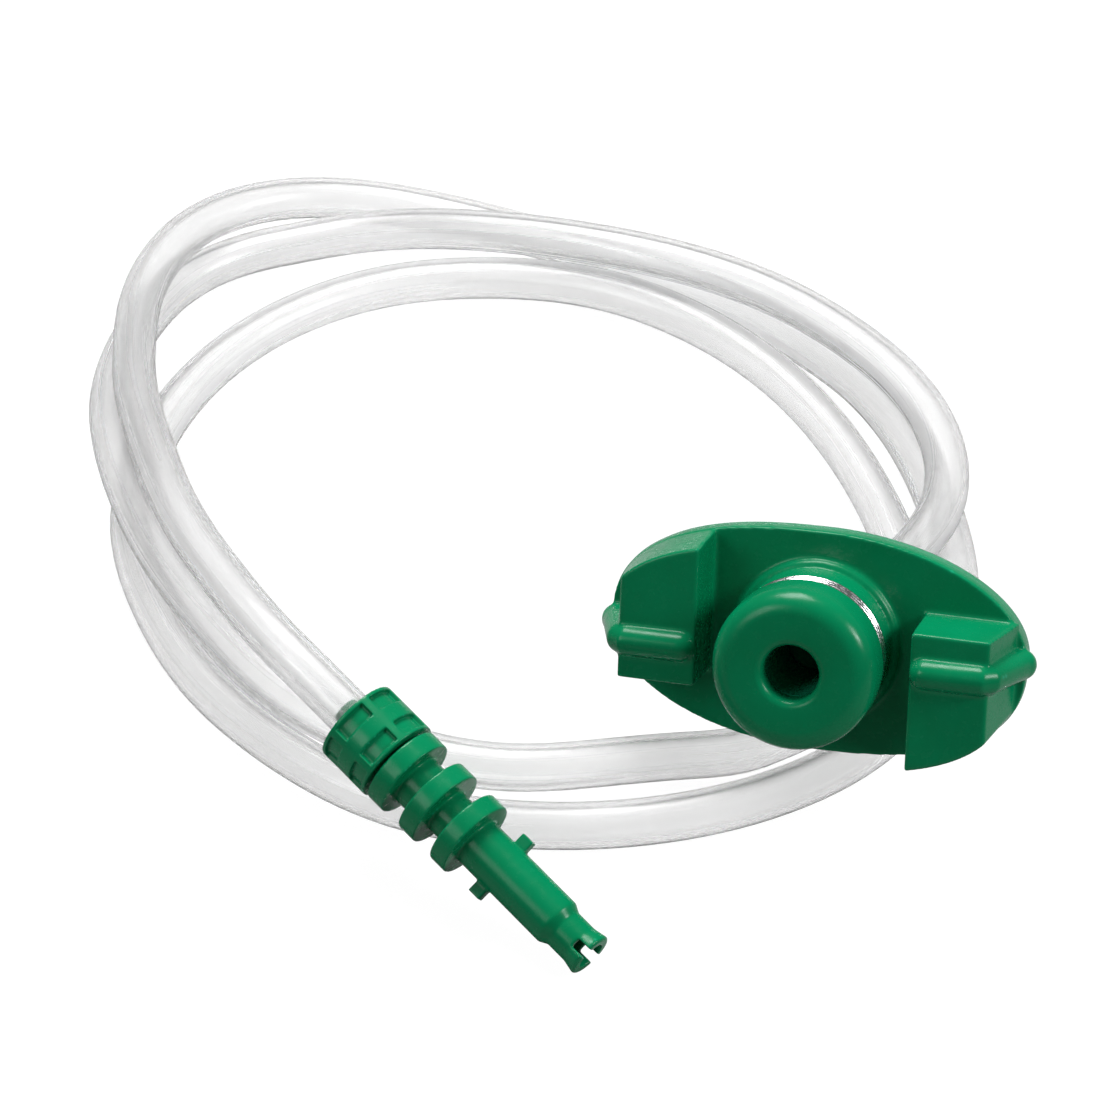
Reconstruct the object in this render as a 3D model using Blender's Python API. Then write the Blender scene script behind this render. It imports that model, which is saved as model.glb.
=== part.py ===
"""Clear hose in loose coils, with a winged press-to-open head and a bayonet nozzle.

Sizes are in millimetres and are turned into metres by MM. Every sub-assembly is built along
its own Z axis and placed by an empty:

* the head: Z is the axis of its sprung nose, X runs from wing tip to wing tip;
* the nozzle: Z runs from the coupling nut to the slotted tip, X through the bayonet lugs.
"""

import math

import bmesh
import bpy
import numpy as np
from mathutils import Matrix, Vector

MM = 0.001
GAP = 0.3                    # clearance between pieces that touch or seat
RUNNING_GAP = 0.3            # radial clearance between pieces that slide or turn

# --- layout -----------------------------------------------------------------------------
LAYOUT_SHIFT = (-40.61, 130.66, 0.0)    # puts the origin under the middle of head and nozzle
HEAD_AT = (75.0, -105.9, 42.0)          # middle of the plate's front face, from the coil centre
HEAD_LEAN = 67.2                        # nose axis from straight up, degrees
HEAD_YAW = -17.7
HEAD_ROLL = 5.2                         # about the nose axis
NOZZLE_AT = (-39.2, -125.9)             # rear face of the nut; the tip rests on the ground
NOZZLE_HEADING = -43.3
NOZZLE_DIP = 19.4
NOZZLE_ROLL = -54.0

# --- hose -------------------------------------------------------------------------------
HOSE_DIAMETER = 12.0
HOSE_BORE = 8.4
HOSE_POINTS = 80             # points on the tube's centre line

# --- head -------------------------------------------------------------------------------
PLATE_HALF_LENGTH = 53.0
PLATE_HALF_HEIGHT = 28.4
PLATE_THICKNESS = 4.0
PLATE_FULL_CORNER = 2.6      # superellipse exponent beside the ears
PLATE_SLIM_CORNER = 1.95     # superellipse exponent of the other two quarters
PLATE_STEPS = 12             # points on each quarter of the outline
COVER_THICKNESS = 3.7
COVER_INSET = 0.5

BASE_RING_RADIUS = 21.2
BASE_RING_HEIGHT = 1.8
BOSS_RADIUS = 19.4
BOSS_HEIGHT = 9.0
GUIDE_HEIGHT = 1.2

EAR_HEIGHT = 17.0
EAR_INNER = 27.0             # inner wall, from the nose axis
EAR_OUTER_FOOT = 50.5
EAR_OUTER_FRONT = 46.5
EAR_SHORT_SIDE = 10.0        # from the wing's middle line to the ear's near edge
RIB_RADIUS = 3.9
RIB_REACH = 51.6             # rib's centre line at the plate's rim

NOSE_RADIUS = 20.5
NOSE_LENGTH = 14.0
NOSE_FRONT_ROUND = 5.5
NOSE_REAR_ROUND = 1.2
SPRING_SPACE = 6.6           # boss face to nose at rest
NOSE_TRAVEL = 2.2

SLEEVE_BORE = 7.0            # radius of the way through the nose
SLEEVE_WALL = 2.5
SLEEVE_IN_NOSE = 8.2
SPRING_WIRE = 0.9
SPRING_TURNS = 3.0

SEAT_DEPTH = 2.5             # valve seat above the plate's front face
CHAMBER_RADIUS = 15.0
DISC_THICKNESS = 2.1
SEAL_THICKNESS = 1.2
RING_SECTION = 1.5           # O-ring thickness
RING_SQUEEZE = 0.1           # the ring stands this far proud of the bore
GASKET_RADIUS = 17.0
GASKET_WIDTH = 2.0
GASKET_THICKNESS = 0.8

SCREW_PLACES = ((32.0, -18.0), (43.0, 5.0))      # in the right ear; the left ear's are opposite
SCREW_SHANK = 1.25
SCREW_HEAD = 2.6
SCREW_HEAD_DEPTH = 1.6
SCREW_LENGTH = 11.0

BARB_THREAD_RADIUS = 5.6
BARB_HEX_RADIUS = 8.6
BARB_HEX_LENGTH = 4.0
BARB_TAIL = 18.0
BARB_WASHER = 0.8
CLAMP_WIDTH = 6.0
CLAMP_WALL = 0.7
CLAMP_FROM_HEX = 5.0

# --- nozzle -----------------------------------------------------------------------------
NUT_RADIUS = 11.4
NUT_LENGTH = 15.0
NUT_PANELS = 6
NUT_RIM = 1.0                # rim outside each row of recessed panels
NUT_BAND = 4.6               # band between the two rows
NUT_RIB_ANGLE = 12.0         # rib between two panels, degrees
NUT_PANEL_DEPTH = 1.2
SOCKET_RADIUS = 8.0
SOCKET_LENGTH = 9.0
COLLET_LENGTH = 4.6
COLLET_WALL = 0.7
COLLET_SLOTS = 4
HOSE_GASKET = 0.8

FLANGES = ((16.0, 21.3, 11.0), (27.0, 32.3, 10.8), (38.1, 43.2, 10.7))  # start, end, radius
NECKS = (6.9, 6.1)
BARREL_RADIUS = 6.45
BARREL_END = 72.1
TIP_START = 74.3
TIP_RADIUS = 5.3
TIP_FLARE = 6.0
NOZZLE_LENGTH = 84.0
NOZZLE_EDGE = 0.5            # chamfer of flanges and tip
SPIGOT_RADIUS = 3.9
SPIGOT_TAIL = 4.0            # spigot behind the nut
SPIGOT_BORE = 2.6
TIP_BORE = 3.6
TIP_BORE_DEPTH = 16.0
SLOT_WIDTH = 2.5
SLOT_DEPTH = 4.0
LUG_AT = 52.7
LUG_LENGTH = 3.6
LUG_WIDTH = 3.4
LUG_RADIUS = 9.6

# Route of the hose's centre line from the nozzle to the head, in mm from the coil centre.
FLOOR, SECOND, THIRD = 6.0, 18.3, 31.0           # heights of strands lying on each other
HOSE_ROUTE = (
    (-57.5, -107.5, 41), (-73, -81, 40), (-87, -50, 37), (-97, -16.5, 33), (-104, 15, 28.5),
    (-107, 47.5, 23), (-106, 78, 19), (-97, 103, 18.3), (-79.5, 121.5, 16), (-55, 131, 12),
    (-28, 129, 9), (0, 119.5, 7.5), (28, 107, 6.5), (54, 91.5, FLOOR), (77, 71, FLOOR),
    (97.5, 44.5, FLOOR), (109.5, 14.5, FLOOR), (115.5, -17, FLOOR), (116, -47, FLOOR),
    (107.5, -78, FLOOR), (88.5, -106, FLOOR), (62, -124, FLOOR), (32, -133, FLOOR),
    (0, -134, FLOOR), (-31, -126, FLOOR), (-59, -106, FLOOR), (-81, -80, FLOOR),
    (-96, -49, FLOOR), (-104, -17, FLOOR), (-102, 16, FLOOR), (-91, 48, FLOOR),
    (-70, 76, FLOOR), (-41, 94, FLOOR), (-9, 99, FLOOR), (23, 93.5, FLOOR), (51, 76, FLOOR),
    (73, 51, FLOOR), (89, 20, FLOOR), (99, -12, FLOOR), (103, -44, FLOOR), (95.5, -73, FLOOR),
    (78.5, -93, FLOOR), (57.5, -106.5, 6.5), (42, -114.5, 11.5), (23, -122.5, 16.5),
    (0, -126.5, SECOND), (-29, -119, SECOND), (-56, -101, SECOND), (-76, -75, SECOND),
    (-92, -47, SECOND), (-104.5, -15, SECOND), (-111.5, 16, 16), (-113, 47, 9.5),
    (-107, 79, FLOOR), (-92, 102.5, FLOOR), (-68.5, 115.5, FLOOR), (-41, 118, 9.5),
    (-13, 111, 14.5), (15, 101.5, 17.5), (44, 90.5, SECOND), (70, 75.5, SECOND),
    (92, 54, SECOND), (108, 29, SECOND), (115.5, 0, SECOND), (112, -26, SECOND),
    (101.5, -45, SECOND), (95.5, -53.5, 19),
)

# --- sizes that follow from the ones above ----------------------------------------------
HOSE_RADIUS = HOSE_DIAMETER / 2
SLEEVE_RADIUS = SLEEVE_BORE + SLEEVE_WALL
BORE_RADIUS = SLEEVE_RADIUS + RUNNING_GAP
NOSE_REAR = BOSS_HEIGHT + SPRING_SPACE
NOSE_FRONT = NOSE_REAR + NOSE_LENGTH
SPRING_RADIUS = BOSS_RADIUS - SPRING_WIRE
GUIDE_RADIUS = SPRING_RADIUS - SPRING_WIRE / 2 - RUNNING_GAP
DISC_RADIUS = CHAMBER_RADIUS - 1.0
DISC_FRONT = SEAT_DEPTH - GAP - SEAL_THICKNESS - GAP
SLEEVE_REAR = DISC_FRONT + GAP
SEAL_OUTER = DISC_RADIUS
SEAL_INNER = BORE_RADIUS + 1.4
RING_AT = (SEAT_DEPTH + BOSS_HEIGHT) / 2 + 0.9
RING_RADIUS = BORE_RADIUS - RING_SQUEEZE + RING_SECTION / 2
PORT_RADIUS = (NOSE_TRAVEL - GAP) / 3
PORT_AT = SEAT_DEPTH + GAP + PORT_RADIUS
COVER_FRONT = -PLATE_THICKNESS - GAP
COVER_REAR = COVER_FRONT - COVER_THICKNESS
BARB_WASHER_REAR = COVER_REAR - GAP - BARB_WASHER
BARB_HEX_FRONT = BARB_WASHER_REAR - GAP
BARB_HEX_REAR = BARB_HEX_FRONT - BARB_HEX_LENGTH
BARB_END = BARB_HEX_REAR - BARB_TAIL
BARB_RADIUS = HOSE_BORE / 2 - 0.2
SOCKET_START = FLANGES[0][0] - SOCKET_LENGTH
SOCKET_BORE = HOSE_RADIUS + GAP
NUT_BORE = SOCKET_RADIUS + RUNNING_GAP


def clear_scene():
    """Remove every object, so that the script can run again in an open file."""
    for thing in list(bpy.data.objects):
        bpy.data.objects.remove(thing, do_unlink=True)


def plastic(name, colour, roughness, metallic=0.0, alpha=1.0):
    """Make a plain Principled material."""
    material = bpy.data.materials.new(name)
    material.use_nodes = True
    shader = material.node_tree.nodes["Principled BSDF"]
    shader.inputs["Base Color"].default_value = (*colour, 1.0)
    shader.inputs["Roughness"].default_value = roughness
    shader.inputs["Metallic"].default_value = metallic
    shader.inputs["Alpha"].default_value = alpha
    return material


def empty(name, matrix):
    """Add an empty that places a sub-assembly."""
    frame = bpy.data.objects.new(name, None)
    frame.matrix_world = matrix
    bpy.context.scene.collection.objects.link(frame)
    return frame


def solid(name, bm, parent, material=None, smooth=35.0):
    """Turn a bmesh in millimetres into an object under a placing empty."""
    bmesh.ops.recalc_face_normals(bm, faces=bm.faces)
    bmesh.ops.scale(bm, vec=(MM, MM, MM), verts=bm.verts)
    mesh = bpy.data.meshes.new(name)
    bm.to_mesh(mesh)
    bm.free()
    mesh.shade_smooth()
    mesh.set_sharp_from_angle(angle=math.radians(smooth))
    thing = bpy.data.objects.new(name, mesh)
    if material:
        mesh.materials.append(material)
    thing.parent = parent
    bpy.context.scene.collection.objects.link(thing)
    return thing


def boolean(target, other, operation):
    """Cut or add another solid, which is then only a guide."""
    modifier = target.modifiers.new(other.name, "BOOLEAN")
    modifier.operation = operation
    modifier.object = other
    modifier.solver = "EXACT"
    other.hide_render = True
    other.display_type = "WIRE"


def turned(outline, segments):
    """Turn a closed outline of (radius, z) points about Z; points on the axis are allowed."""
    bm = bmesh.new()
    rings = []
    for radius, z in outline:
        if radius == 0:
            rings.append([bm.verts.new((0, 0, z))] * segments)
            continue
        angles = [2 * math.pi * i / segments for i in range(segments)]
        rings.append([bm.verts.new((radius * math.cos(a), radius * math.sin(a), z)) for a in angles])
    for ring, following in zip(rings, rings[1:] + rings[:1]):
        for i in range(segments):
            j = (i + 1) % segments
            corners = dict.fromkeys((ring[i], ring[j], following[j], following[i]))
            if len(corners) > 2:
                bm.faces.new(list(corners))
    return bm


def prism(points, bottom, top, top_points=None):
    """Extrude a closed outline of (x, y) points, or loft it to a second one."""
    bm = bmesh.new()
    low = [bm.verts.new((x, y, bottom)) for x, y in points]
    high = [bm.verts.new((x, y, top)) for x, y in (top_points or points)]
    bm.faces.new(low)
    bm.faces.new(high)
    for i in range(len(points)):
        j = (i + 1) % len(points)
        bm.faces.new((low[i], low[j], high[j], high[i]))
    return bm


def box(low, high):
    """Make a box from its lowest and highest corners."""
    corners = [(low[0], low[1]), (high[0], low[1]), (high[0], high[1]), (low[0], high[1])]
    return prism(corners, low[2], high[2])


def tube(path, radius, sides, round_ends=False):
    """Sweep a circle along a path of points, with flat or round ends."""
    points = [Vector(p) for p in path]
    directions = [(b - a).normalized() for a, b in zip(points, points[1:])]
    tangents = [directions[0]]
    tangents += [(a + b).normalized() for a, b in zip(directions, directions[1:])]
    tangents.append(directions[-1])
    stations = [(p, t, radius) for p, t in zip(points, tangents)]
    if round_ends:
        caps = [math.radians(a) for a in (80, 55, 28)]
        head = [(points[0] - tangents[0] * radius * math.sin(a), tangents[0], radius * math.cos(a))
                for a in caps]
        tail = [(points[-1] + tangents[-1] * radius * math.sin(a), tangents[-1],
                 radius * math.cos(a)) for a in reversed(caps)]
        stations = head + stations + tail
    bm = bmesh.new()
    across = tangents[0].orthogonal().normalized()
    rings = []
    for centre, along, size in stations:
        across = (across - along * across.dot(along)).normalized()
        upward = along.cross(across)
        ring = []
        for k in range(sides):
            a = 2 * math.pi * k / sides
            ring.append(bm.verts.new(centre + (across * math.cos(a) + upward * math.sin(a)) * size))
        rings.append(ring)
    for ring, following in zip(rings, rings[1:]):
        for k in range(sides):
            m = (k + 1) % sides
            bm.faces.new((ring[k], ring[m], following[m], following[k]))
    bm.faces.new(rings[0])
    bm.faces.new(rings[-1])
    return bm


def rounded(corner, radius, start, steps=5):
    """Points of a quarter round about a corner's centre, from start degrees, turning left."""
    angles = [math.radians(start + 90 * i / steps) for i in range(steps + 1)]
    return [(corner[0] + radius * math.cos(a), corner[1] + radius * math.sin(a)) for a in angles]


def turn_round(bm):
    """Turn a shape half a turn about the nose axis, for the opposite wing."""
    bmesh.ops.rotate(bm, cent=(0, 0, 0), matrix=Matrix.Rotation(math.pi, 3, "Z"), verts=bm.verts)
    return bm


# ----------------------------------------------------------------------------------------
# Head
# ----------------------------------------------------------------------------------------
def plate_outline(inset=0.0):
    """Lens outline of the wings: two slim and two fuller quarters of a superellipse."""
    points = []
    for quarter in range(4):
        power = PLATE_SLIM_CORNER if quarter % 2 == 0 else PLATE_FULL_CORNER
        for i in range(PLATE_STEPS):
            a = math.pi / 2 * (quarter + i / PLATE_STEPS)
            x = math.copysign(abs(math.cos(a)) ** (2 / power), math.cos(a))
            y = math.copysign(abs(math.sin(a)) ** (2 / power), math.sin(a))
            points.append((x * (PLATE_HALF_LENGTH - inset), y * (PLATE_HALF_HEIGHT - inset)))
    return points


def ear():
    """Right ear: a block with a drafted outer end, from the plate up to its front face."""
    foot = [(EAR_INNER, EAR_SHORT_SIDE + 0.6), (EAR_INNER, -25.4), (31.0, -24.2), (41.0, -18.6),
            (47.4, -12.0), (EAR_OUTER_FOOT, -6.0), (EAR_OUTER_FOOT, EAR_SHORT_SIDE + 0.4)]
    front = [(EAR_INNER, EAR_SHORT_SIDE), (EAR_INNER, -25.0), (30.5, -23.6), (39.5, -18.0),
             (44.4, -12.0), (EAR_OUTER_FRONT, -6.0), (EAR_OUTER_FRONT, EAR_SHORT_SIDE - 0.6)]
    return prism(foot, -1.0, EAR_HEIGHT, front)


def ear_rib():
    """Half-round rib over the right ear's front face and down its outer end."""
    bend = 2.0
    path = [(EAR_INNER + RIB_RADIUS, 0, EAR_HEIGHT - 0.4),
            (EAR_OUTER_FRONT - bend, 0, EAR_HEIGHT - 0.4),
            (EAR_OUTER_FRONT - 0.2, 0, EAR_HEIGHT - bend),
            (RIB_REACH - 0.6, 0, 1.0),
            (RIB_REACH, 0, -PLATE_THICKNESS + RIB_RADIUS)]
    return tube(path, RIB_RADIUS, 16, round_ends=True)


def screw_places():
    """The four cover screws, two in each ear."""
    return [(side * x, side * y) for side in (1, -1) for x, y in SCREW_PLACES]


def wing_body(head, green):
    """Front shell: plate, boss, ears and ribs, with the sleeve's bore and the valve chamber."""
    body = solid("wing_body", prism(plate_outline(), -PLATE_THICKNESS, 0.0), head, green)
    rise = 0.8
    boss = [(0, -1), (BASE_RING_RADIUS, -1), (BASE_RING_RADIUS, BASE_RING_HEIGHT - rise),
            (BASE_RING_RADIUS - rise, BASE_RING_HEIGHT), (BOSS_RADIUS, BASE_RING_HEIGHT),
            (BOSS_RADIUS, BOSS_HEIGHT), (GUIDE_RADIUS, BOSS_HEIGHT),
            (GUIDE_RADIUS, BOSS_HEIGHT + GUIDE_HEIGHT), (0, BOSS_HEIGHT + GUIDE_HEIGHT)]
    adds = [("boss_add", turned(boss, 48)), ("ear_right_add", ear()), ("rib_right_add", ear_rib()),
            ("ear_left_add", turn_round(ear())), ("rib_left_add", turn_round(ear_rib()))]
    for name, shape in adds:
        boolean(body, solid(name, shape, head), "UNION")
    groove = RING_SECTION / 2 + GAP
    cut = [(0, -PLATE_THICKNESS - 1), (CHAMBER_RADIUS, -PLATE_THICKNESS - 1),
           (CHAMBER_RADIUS, SEAT_DEPTH), (BORE_RADIUS, SEAT_DEPTH),
           (BORE_RADIUS, RING_AT - groove), (RING_RADIUS + groove, RING_AT - groove),
           (RING_RADIUS + groove, RING_AT + groove), (BORE_RADIUS, RING_AT + groove),
           (BORE_RADIUS, BOSS_HEIGHT + 3), (0, BOSS_HEIGHT + 3)]
    boolean(body, solid("bore_cut", turned(cut, 48), head), "DIFFERENCE")
    inner, outer = GASKET_RADIUS - GASKET_WIDTH / 2 - GAP, GASKET_RADIUS + GASKET_WIDTH / 2 + GAP
    depth = GASKET_THICKNESS + GAP - PLATE_THICKNESS
    trench = [(inner, -PLATE_THICKNESS - 1), (outer, -PLATE_THICKNESS - 1), (outer, depth),
              (inner, depth)]
    boolean(body, solid("gasket_groove_cut", turned(trench, 48), head), "DIFFERENCE")
    tip = COVER_REAR + SCREW_LENGTH + 1.0
    for k, (x, y) in enumerate(screw_places()):
        hole = turned([(0, -PLATE_THICKNESS - 1), (SCREW_SHANK + GAP, -PLATE_THICKNESS - 1),
                       (SCREW_SHANK + GAP, tip), (0, tip)], 12)
        bmesh.ops.translate(hole, vec=(x, y, 0), verts=hole.verts)
        boolean(body, solid(f"screw_hole_cut_{k}", hole, head), "DIFFERENCE")
    return body


def rear_cover(head, green):
    """Flat rear cover with a hole for the hose barb and countersunk places for the screws."""
    cover = solid("rear_cover", prism(plate_outline(COVER_INSET), COVER_REAR, COVER_FRONT), head,
                  green)
    hole = BARB_THREAD_RADIUS + GAP
    low, high = COVER_REAR - 1, COVER_FRONT + 1
    centre = turned([(0, low), (hole, low), (hole, high), (0, high)], 32)
    boolean(cover, solid("barb_hole_cut", centre, head), "DIFFERENCE")
    seat = COVER_REAR + SCREW_HEAD_DEPTH + GAP
    for k, (x, y) in enumerate(screw_places()):
        place = turned([(0, low), (SCREW_HEAD + GAP, low), (SCREW_HEAD + GAP, seat),
                        (SCREW_SHANK + GAP, seat), (SCREW_SHANK + GAP, high), (0, high)], 16)
        bmesh.ops.translate(place, vec=(x, y, 0), verts=place.verts)
        boolean(cover, solid(f"cover_screw_cut_{k}", place, head), "DIFFERENCE")
    return cover


def cover_screws(head, steel):
    """Four screws that hold the rear cover to the ears."""
    under = COVER_REAR + SCREW_HEAD_DEPTH
    for k, (x, y) in enumerate(screw_places()):
        outline = [(0, COVER_REAR + 0.9), (1.1, COVER_REAR + 0.9), (1.2, COVER_REAR),
                   (SCREW_HEAD - 0.3, COVER_REAR), (SCREW_HEAD, COVER_REAR + 0.4),
                   (SCREW_HEAD, under), (SCREW_SHANK, under),
                   (SCREW_SHANK, COVER_REAR + SCREW_LENGTH - 0.8),
                   (0.4, COVER_REAR + SCREW_LENGTH), (0, COVER_REAR + SCREW_LENGTH)]
        screw = solid(f"cover_screw_{k + 1}", turned(outline, 12), head, steel)
        screw.location = (x * MM, y * MM, 0)


def ring(name, parent, material, inner, outer, low, high, segments=40):
    """A flat ring between two radii and two heights."""
    outline = [(inner, low), (outer, low), (outer, high), (inner, high)]
    return solid(name, turned(outline, segments), parent, material)


def o_ring(name, parent, material, radius, section, at):
    """A round-section ring."""
    outline = [(radius + section / 2 * math.cos(a), at + section / 2 * math.sin(a))
               for a in (2 * math.pi * i / 8 for i in range(8))]
    return solid(name, turned(outline, 40), parent, material)


def nose(head, green):
    """Fat round nose: a deep counterbore behind takes the sleeve, the bore runs right through."""
    big, small = NOSE_FRONT_ROUND, NOSE_REAR_ROUND
    lip = 1.0
    outline = [(SLEEVE_RADIUS + GAP, NOSE_REAR)]
    outline += rounded((NOSE_RADIUS - small, NOSE_REAR + small), small, -90, 3)
    outline += rounded((NOSE_RADIUS - big, NOSE_FRONT - big), big, 0, 6)
    outline += [(SLEEVE_BORE + lip, NOSE_FRONT), (SLEEVE_BORE + 0.3, NOSE_FRONT - 0.3),
                (SLEEVE_BORE, NOSE_FRONT - lip), (SLEEVE_BORE, NOSE_REAR + SLEEVE_IN_NOSE + GAP),
                (SLEEVE_RADIUS + GAP, NOSE_REAR + SLEEVE_IN_NOSE + GAP)]
    return solid("nose_bumper", turned(outline, 48), head, green)


def plunger_sleeve(head, green):
    """Sliding tube that carries the nose, with four ports just in front of the valve seat."""
    top = NOSE_REAR + SLEEVE_IN_NOSE
    outline = [(SLEEVE_BORE, SLEEVE_REAR), (SLEEVE_RADIUS, SLEEVE_REAR), (SLEEVE_RADIUS, top),
               (SLEEVE_BORE, top)]
    sleeve = solid("plunger_sleeve", turned(outline, 32), head, green)
    for k in range(2):
        port = turned([(0, -20), (PORT_RADIUS, -20), (PORT_RADIUS, 20), (0, 20)], 8)
        lay = Matrix.Rotation(math.pi / 2 * k, 4, "Z") @ Matrix.Rotation(math.pi / 2, 4, "Y")
        bmesh.ops.transform(port, matrix=Matrix.Translation((0, 0, PORT_AT)) @ lay, verts=port.verts)
        boolean(sleeve, solid(f"port_cut_{k}", port, head), "DIFFERENCE")
    return sleeve


def valve(head, green, rubber):
    """Disc on the sleeve's inner end and the rubber ring that closes on the seat."""
    step = 1.0
    outline = [(0, DISC_FRONT - DISC_THICKNESS), (DISC_RADIUS, DISC_FRONT - DISC_THICKNESS),
               (DISC_RADIUS, DISC_FRONT), (SLEEVE_BORE - GAP, DISC_FRONT),
               (SLEEVE_BORE - GAP, DISC_FRONT + step), (0, DISC_FRONT + step)]
    solid("valve_disc", turned(outline, 40), head, green)
    ring("valve_seal", head, rubber, SEAL_INNER, SEAL_OUTER, DISC_FRONT + GAP,
         DISC_FRONT + GAP + SEAL_THICKNESS)


def spring(head, steel):
    """Coil of round wire between the boss and the nose, its ends laid flat."""
    reach = SPRING_WIRE / 2 + GAP
    low, high = BOSS_HEIGHT + reach, NOSE_REAR - reach
    steps = int(SPRING_TURNS * 28)
    path = []
    for i in range(steps + 1):
        share = i / steps
        a = 2 * math.pi * SPRING_TURNS * share
        path.append((SPRING_RADIUS * math.cos(a), SPRING_RADIUS * math.sin(a),
                     low + (high - low) * share))
    solid("return_spring", tube(path, SPRING_WIRE / 2, 8), head, steel)


def barb_profile(radius, start, end, count, bore):
    """Saw-tooth outline of a hose barb from start back to end, with its bore."""
    pitch = (start - end) / count
    points = [(bore, end), (radius - 0.9, end)]
    for k in range(count):
        foot = end + pitch * k
        points += [(radius, foot + pitch * 0.8), (radius - 0.5, foot + pitch * 0.82)]
    return points


def hose_barb(head, green):
    """Barb screwed into the cover: thread, hexagon and a ribbed tail for the hose."""
    outline = barb_profile(BARB_RADIUS, BARB_HEX_REAR, BARB_END, 4, SPIGOT_BORE)
    outline += [(BARB_RADIUS - 0.5, BARB_HEX_REAR + 1), (BARB_THREAD_RADIUS, BARB_HEX_REAR + 1),
                (BARB_THREAD_RADIUS, COVER_FRONT - GAP), (SPIGOT_BORE, COVER_FRONT - GAP)]
    barb = solid("hose_barb", turned(outline, 24), head, green)
    hexagon = [(SPIGOT_BORE, BARB_HEX_REAR), (BARB_HEX_RADIUS, BARB_HEX_REAR),
               (BARB_HEX_RADIUS, BARB_HEX_FRONT), (SPIGOT_BORE, BARB_HEX_FRONT)]
    boolean(barb, solid("barb_hex_add", turned(hexagon, 6), head), "UNION")
    bore = turned([(0, BARB_END - 1), (SPIGOT_BORE, BARB_END - 1), (SPIGOT_BORE, 1), (0, 1)], 24)
    boolean(barb, solid("barb_bore_cut", bore, head), "DIFFERENCE")


def hose_clamp(head, steel):
    """Band round the hose over the barb, with a screw housing on top."""
    inner = HOSE_RADIUS + GAP
    front = BARB_HEX_REAR - CLAMP_FROM_HEX
    clamp = ring("hose_clamp", head, steel, inner, inner + CLAMP_WALL, front - CLAMP_WIDTH, front, 32)
    housing = box((-3.6, inner + 0.35, front - CLAMP_WIDTH - 0.6), (3.6, inner + 4.4, front + 0.6))
    boolean(clamp, solid("clamp_housing_add", housing, head), "UNION")


def build_head(layout, finishes):
    """All the pieces of the winged head."""
    green, rubber, steel = finishes["green"], finishes["rubber"], finishes["steel"]
    turn = (Matrix.Rotation(math.radians(HEAD_YAW), 4, "Z")
            @ Matrix.Rotation(math.radians(HEAD_LEAN), 4, "X")
            @ Matrix.Rotation(math.radians(HEAD_ROLL), 4, "Z"))
    place = Vector(HEAD_AT) + Vector(LAYOUT_SHIFT)
    head = empty("head_frame", Matrix.Translation(place * MM) @ turn)
    head.parent = layout
    wing_body(head, green)
    rear_cover(head, green)
    cover_screws(head, steel)
    groove_top = GASKET_THICKNESS + GAP - PLATE_THICKNESS
    ring("cover_gasket", head, rubber, GASKET_RADIUS - GASKET_WIDTH / 2,
         GASKET_RADIUS + GASKET_WIDTH / 2, groove_top - GAP - GASKET_THICKNESS, groove_top - GAP)
    nose(head, green)
    plunger_sleeve(head, green)
    o_ring("sleeve_o_ring", head, rubber, RING_RADIUS, RING_SECTION, RING_AT)
    valve(head, green, rubber)
    spring(head, steel)
    hose_barb(head, green)
    ring("barb_washer", head, rubber, BARB_THREAD_RADIUS + GAP, BARB_HEX_RADIUS - 0.9,
         BARB_WASHER_REAR, BARB_WASHER_REAR + BARB_WASHER, 32)
    hose_clamp(head, steel)
    return head


# ----------------------------------------------------------------------------------------
# Nozzle
# ----------------------------------------------------------------------------------------
def nozzle_body(frame, green):
    """Stepped stem: spigot and threaded socket for the hose, three flanges, barrel and tip."""
    socket_floor = FLANGES[0][0] - 1.0
    edge = NOZZLE_EDGE
    outline = [(SPIGOT_BORE, -SPIGOT_TAIL), (SPIGOT_RADIUS - 0.6, -SPIGOT_TAIL),
               (SPIGOT_RADIUS, -SPIGOT_TAIL + 2.2), (SPIGOT_RADIUS - 0.3, -SPIGOT_TAIL + 2.4),
               (SPIGOT_RADIUS - 0.3, socket_floor), (SOCKET_BORE, socket_floor),
               (SOCKET_BORE, SOCKET_START), (SOCKET_RADIUS, SOCKET_START)]
    necks = (SOCKET_RADIUS, *NECKS)
    for (start, end, radius), neck in zip(FLANGES, necks):
        outline += [(neck, start), (radius - edge, start), (radius, start + edge),
                    (radius, end - edge), (radius - edge, end)]
        following = NECKS[necks.index(neck)] if neck != NECKS[-1] else BARREL_RADIUS
        outline.append((following, end))
    outline += [(BARREL_RADIUS, BARREL_END), (TIP_RADIUS, TIP_START),
                (TIP_RADIUS, NOZZLE_LENGTH - SLOT_DEPTH), (TIP_FLARE, NOZZLE_LENGTH - edge),
                (TIP_FLARE - edge, NOZZLE_LENGTH), (TIP_BORE, NOZZLE_LENGTH),
                (TIP_BORE, NOZZLE_LENGTH - TIP_BORE_DEPTH),
                (SPIGOT_BORE, NOZZLE_LENGTH - TIP_BORE_DEPTH - 1)]
    body = solid("nozzle_body", turned(outline, 36), frame, green)
    half = LUG_WIDTH / 2
    for side in (1, -1):
        near, far = side * (BARREL_RADIUS - 1.2), side * LUG_RADIUS
        lug = box((min(near, far), -half, LUG_AT - LUG_LENGTH / 2),
                  (max(near, far), half, LUG_AT + LUG_LENGTH / 2))
        boolean(body, solid(f"lug_add_{side + 1}", lug, frame), "UNION")
    slot = box((-SLOT_WIDTH / 2, -TIP_FLARE - 1, NOZZLE_LENGTH - SLOT_DEPTH),
               (SLOT_WIDTH / 2, TIP_FLARE + 1, NOZZLE_LENGTH + 1))
    boolean(body, solid("tip_slot_cut", slot, frame), "DIFFERENCE")
    return body


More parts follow.
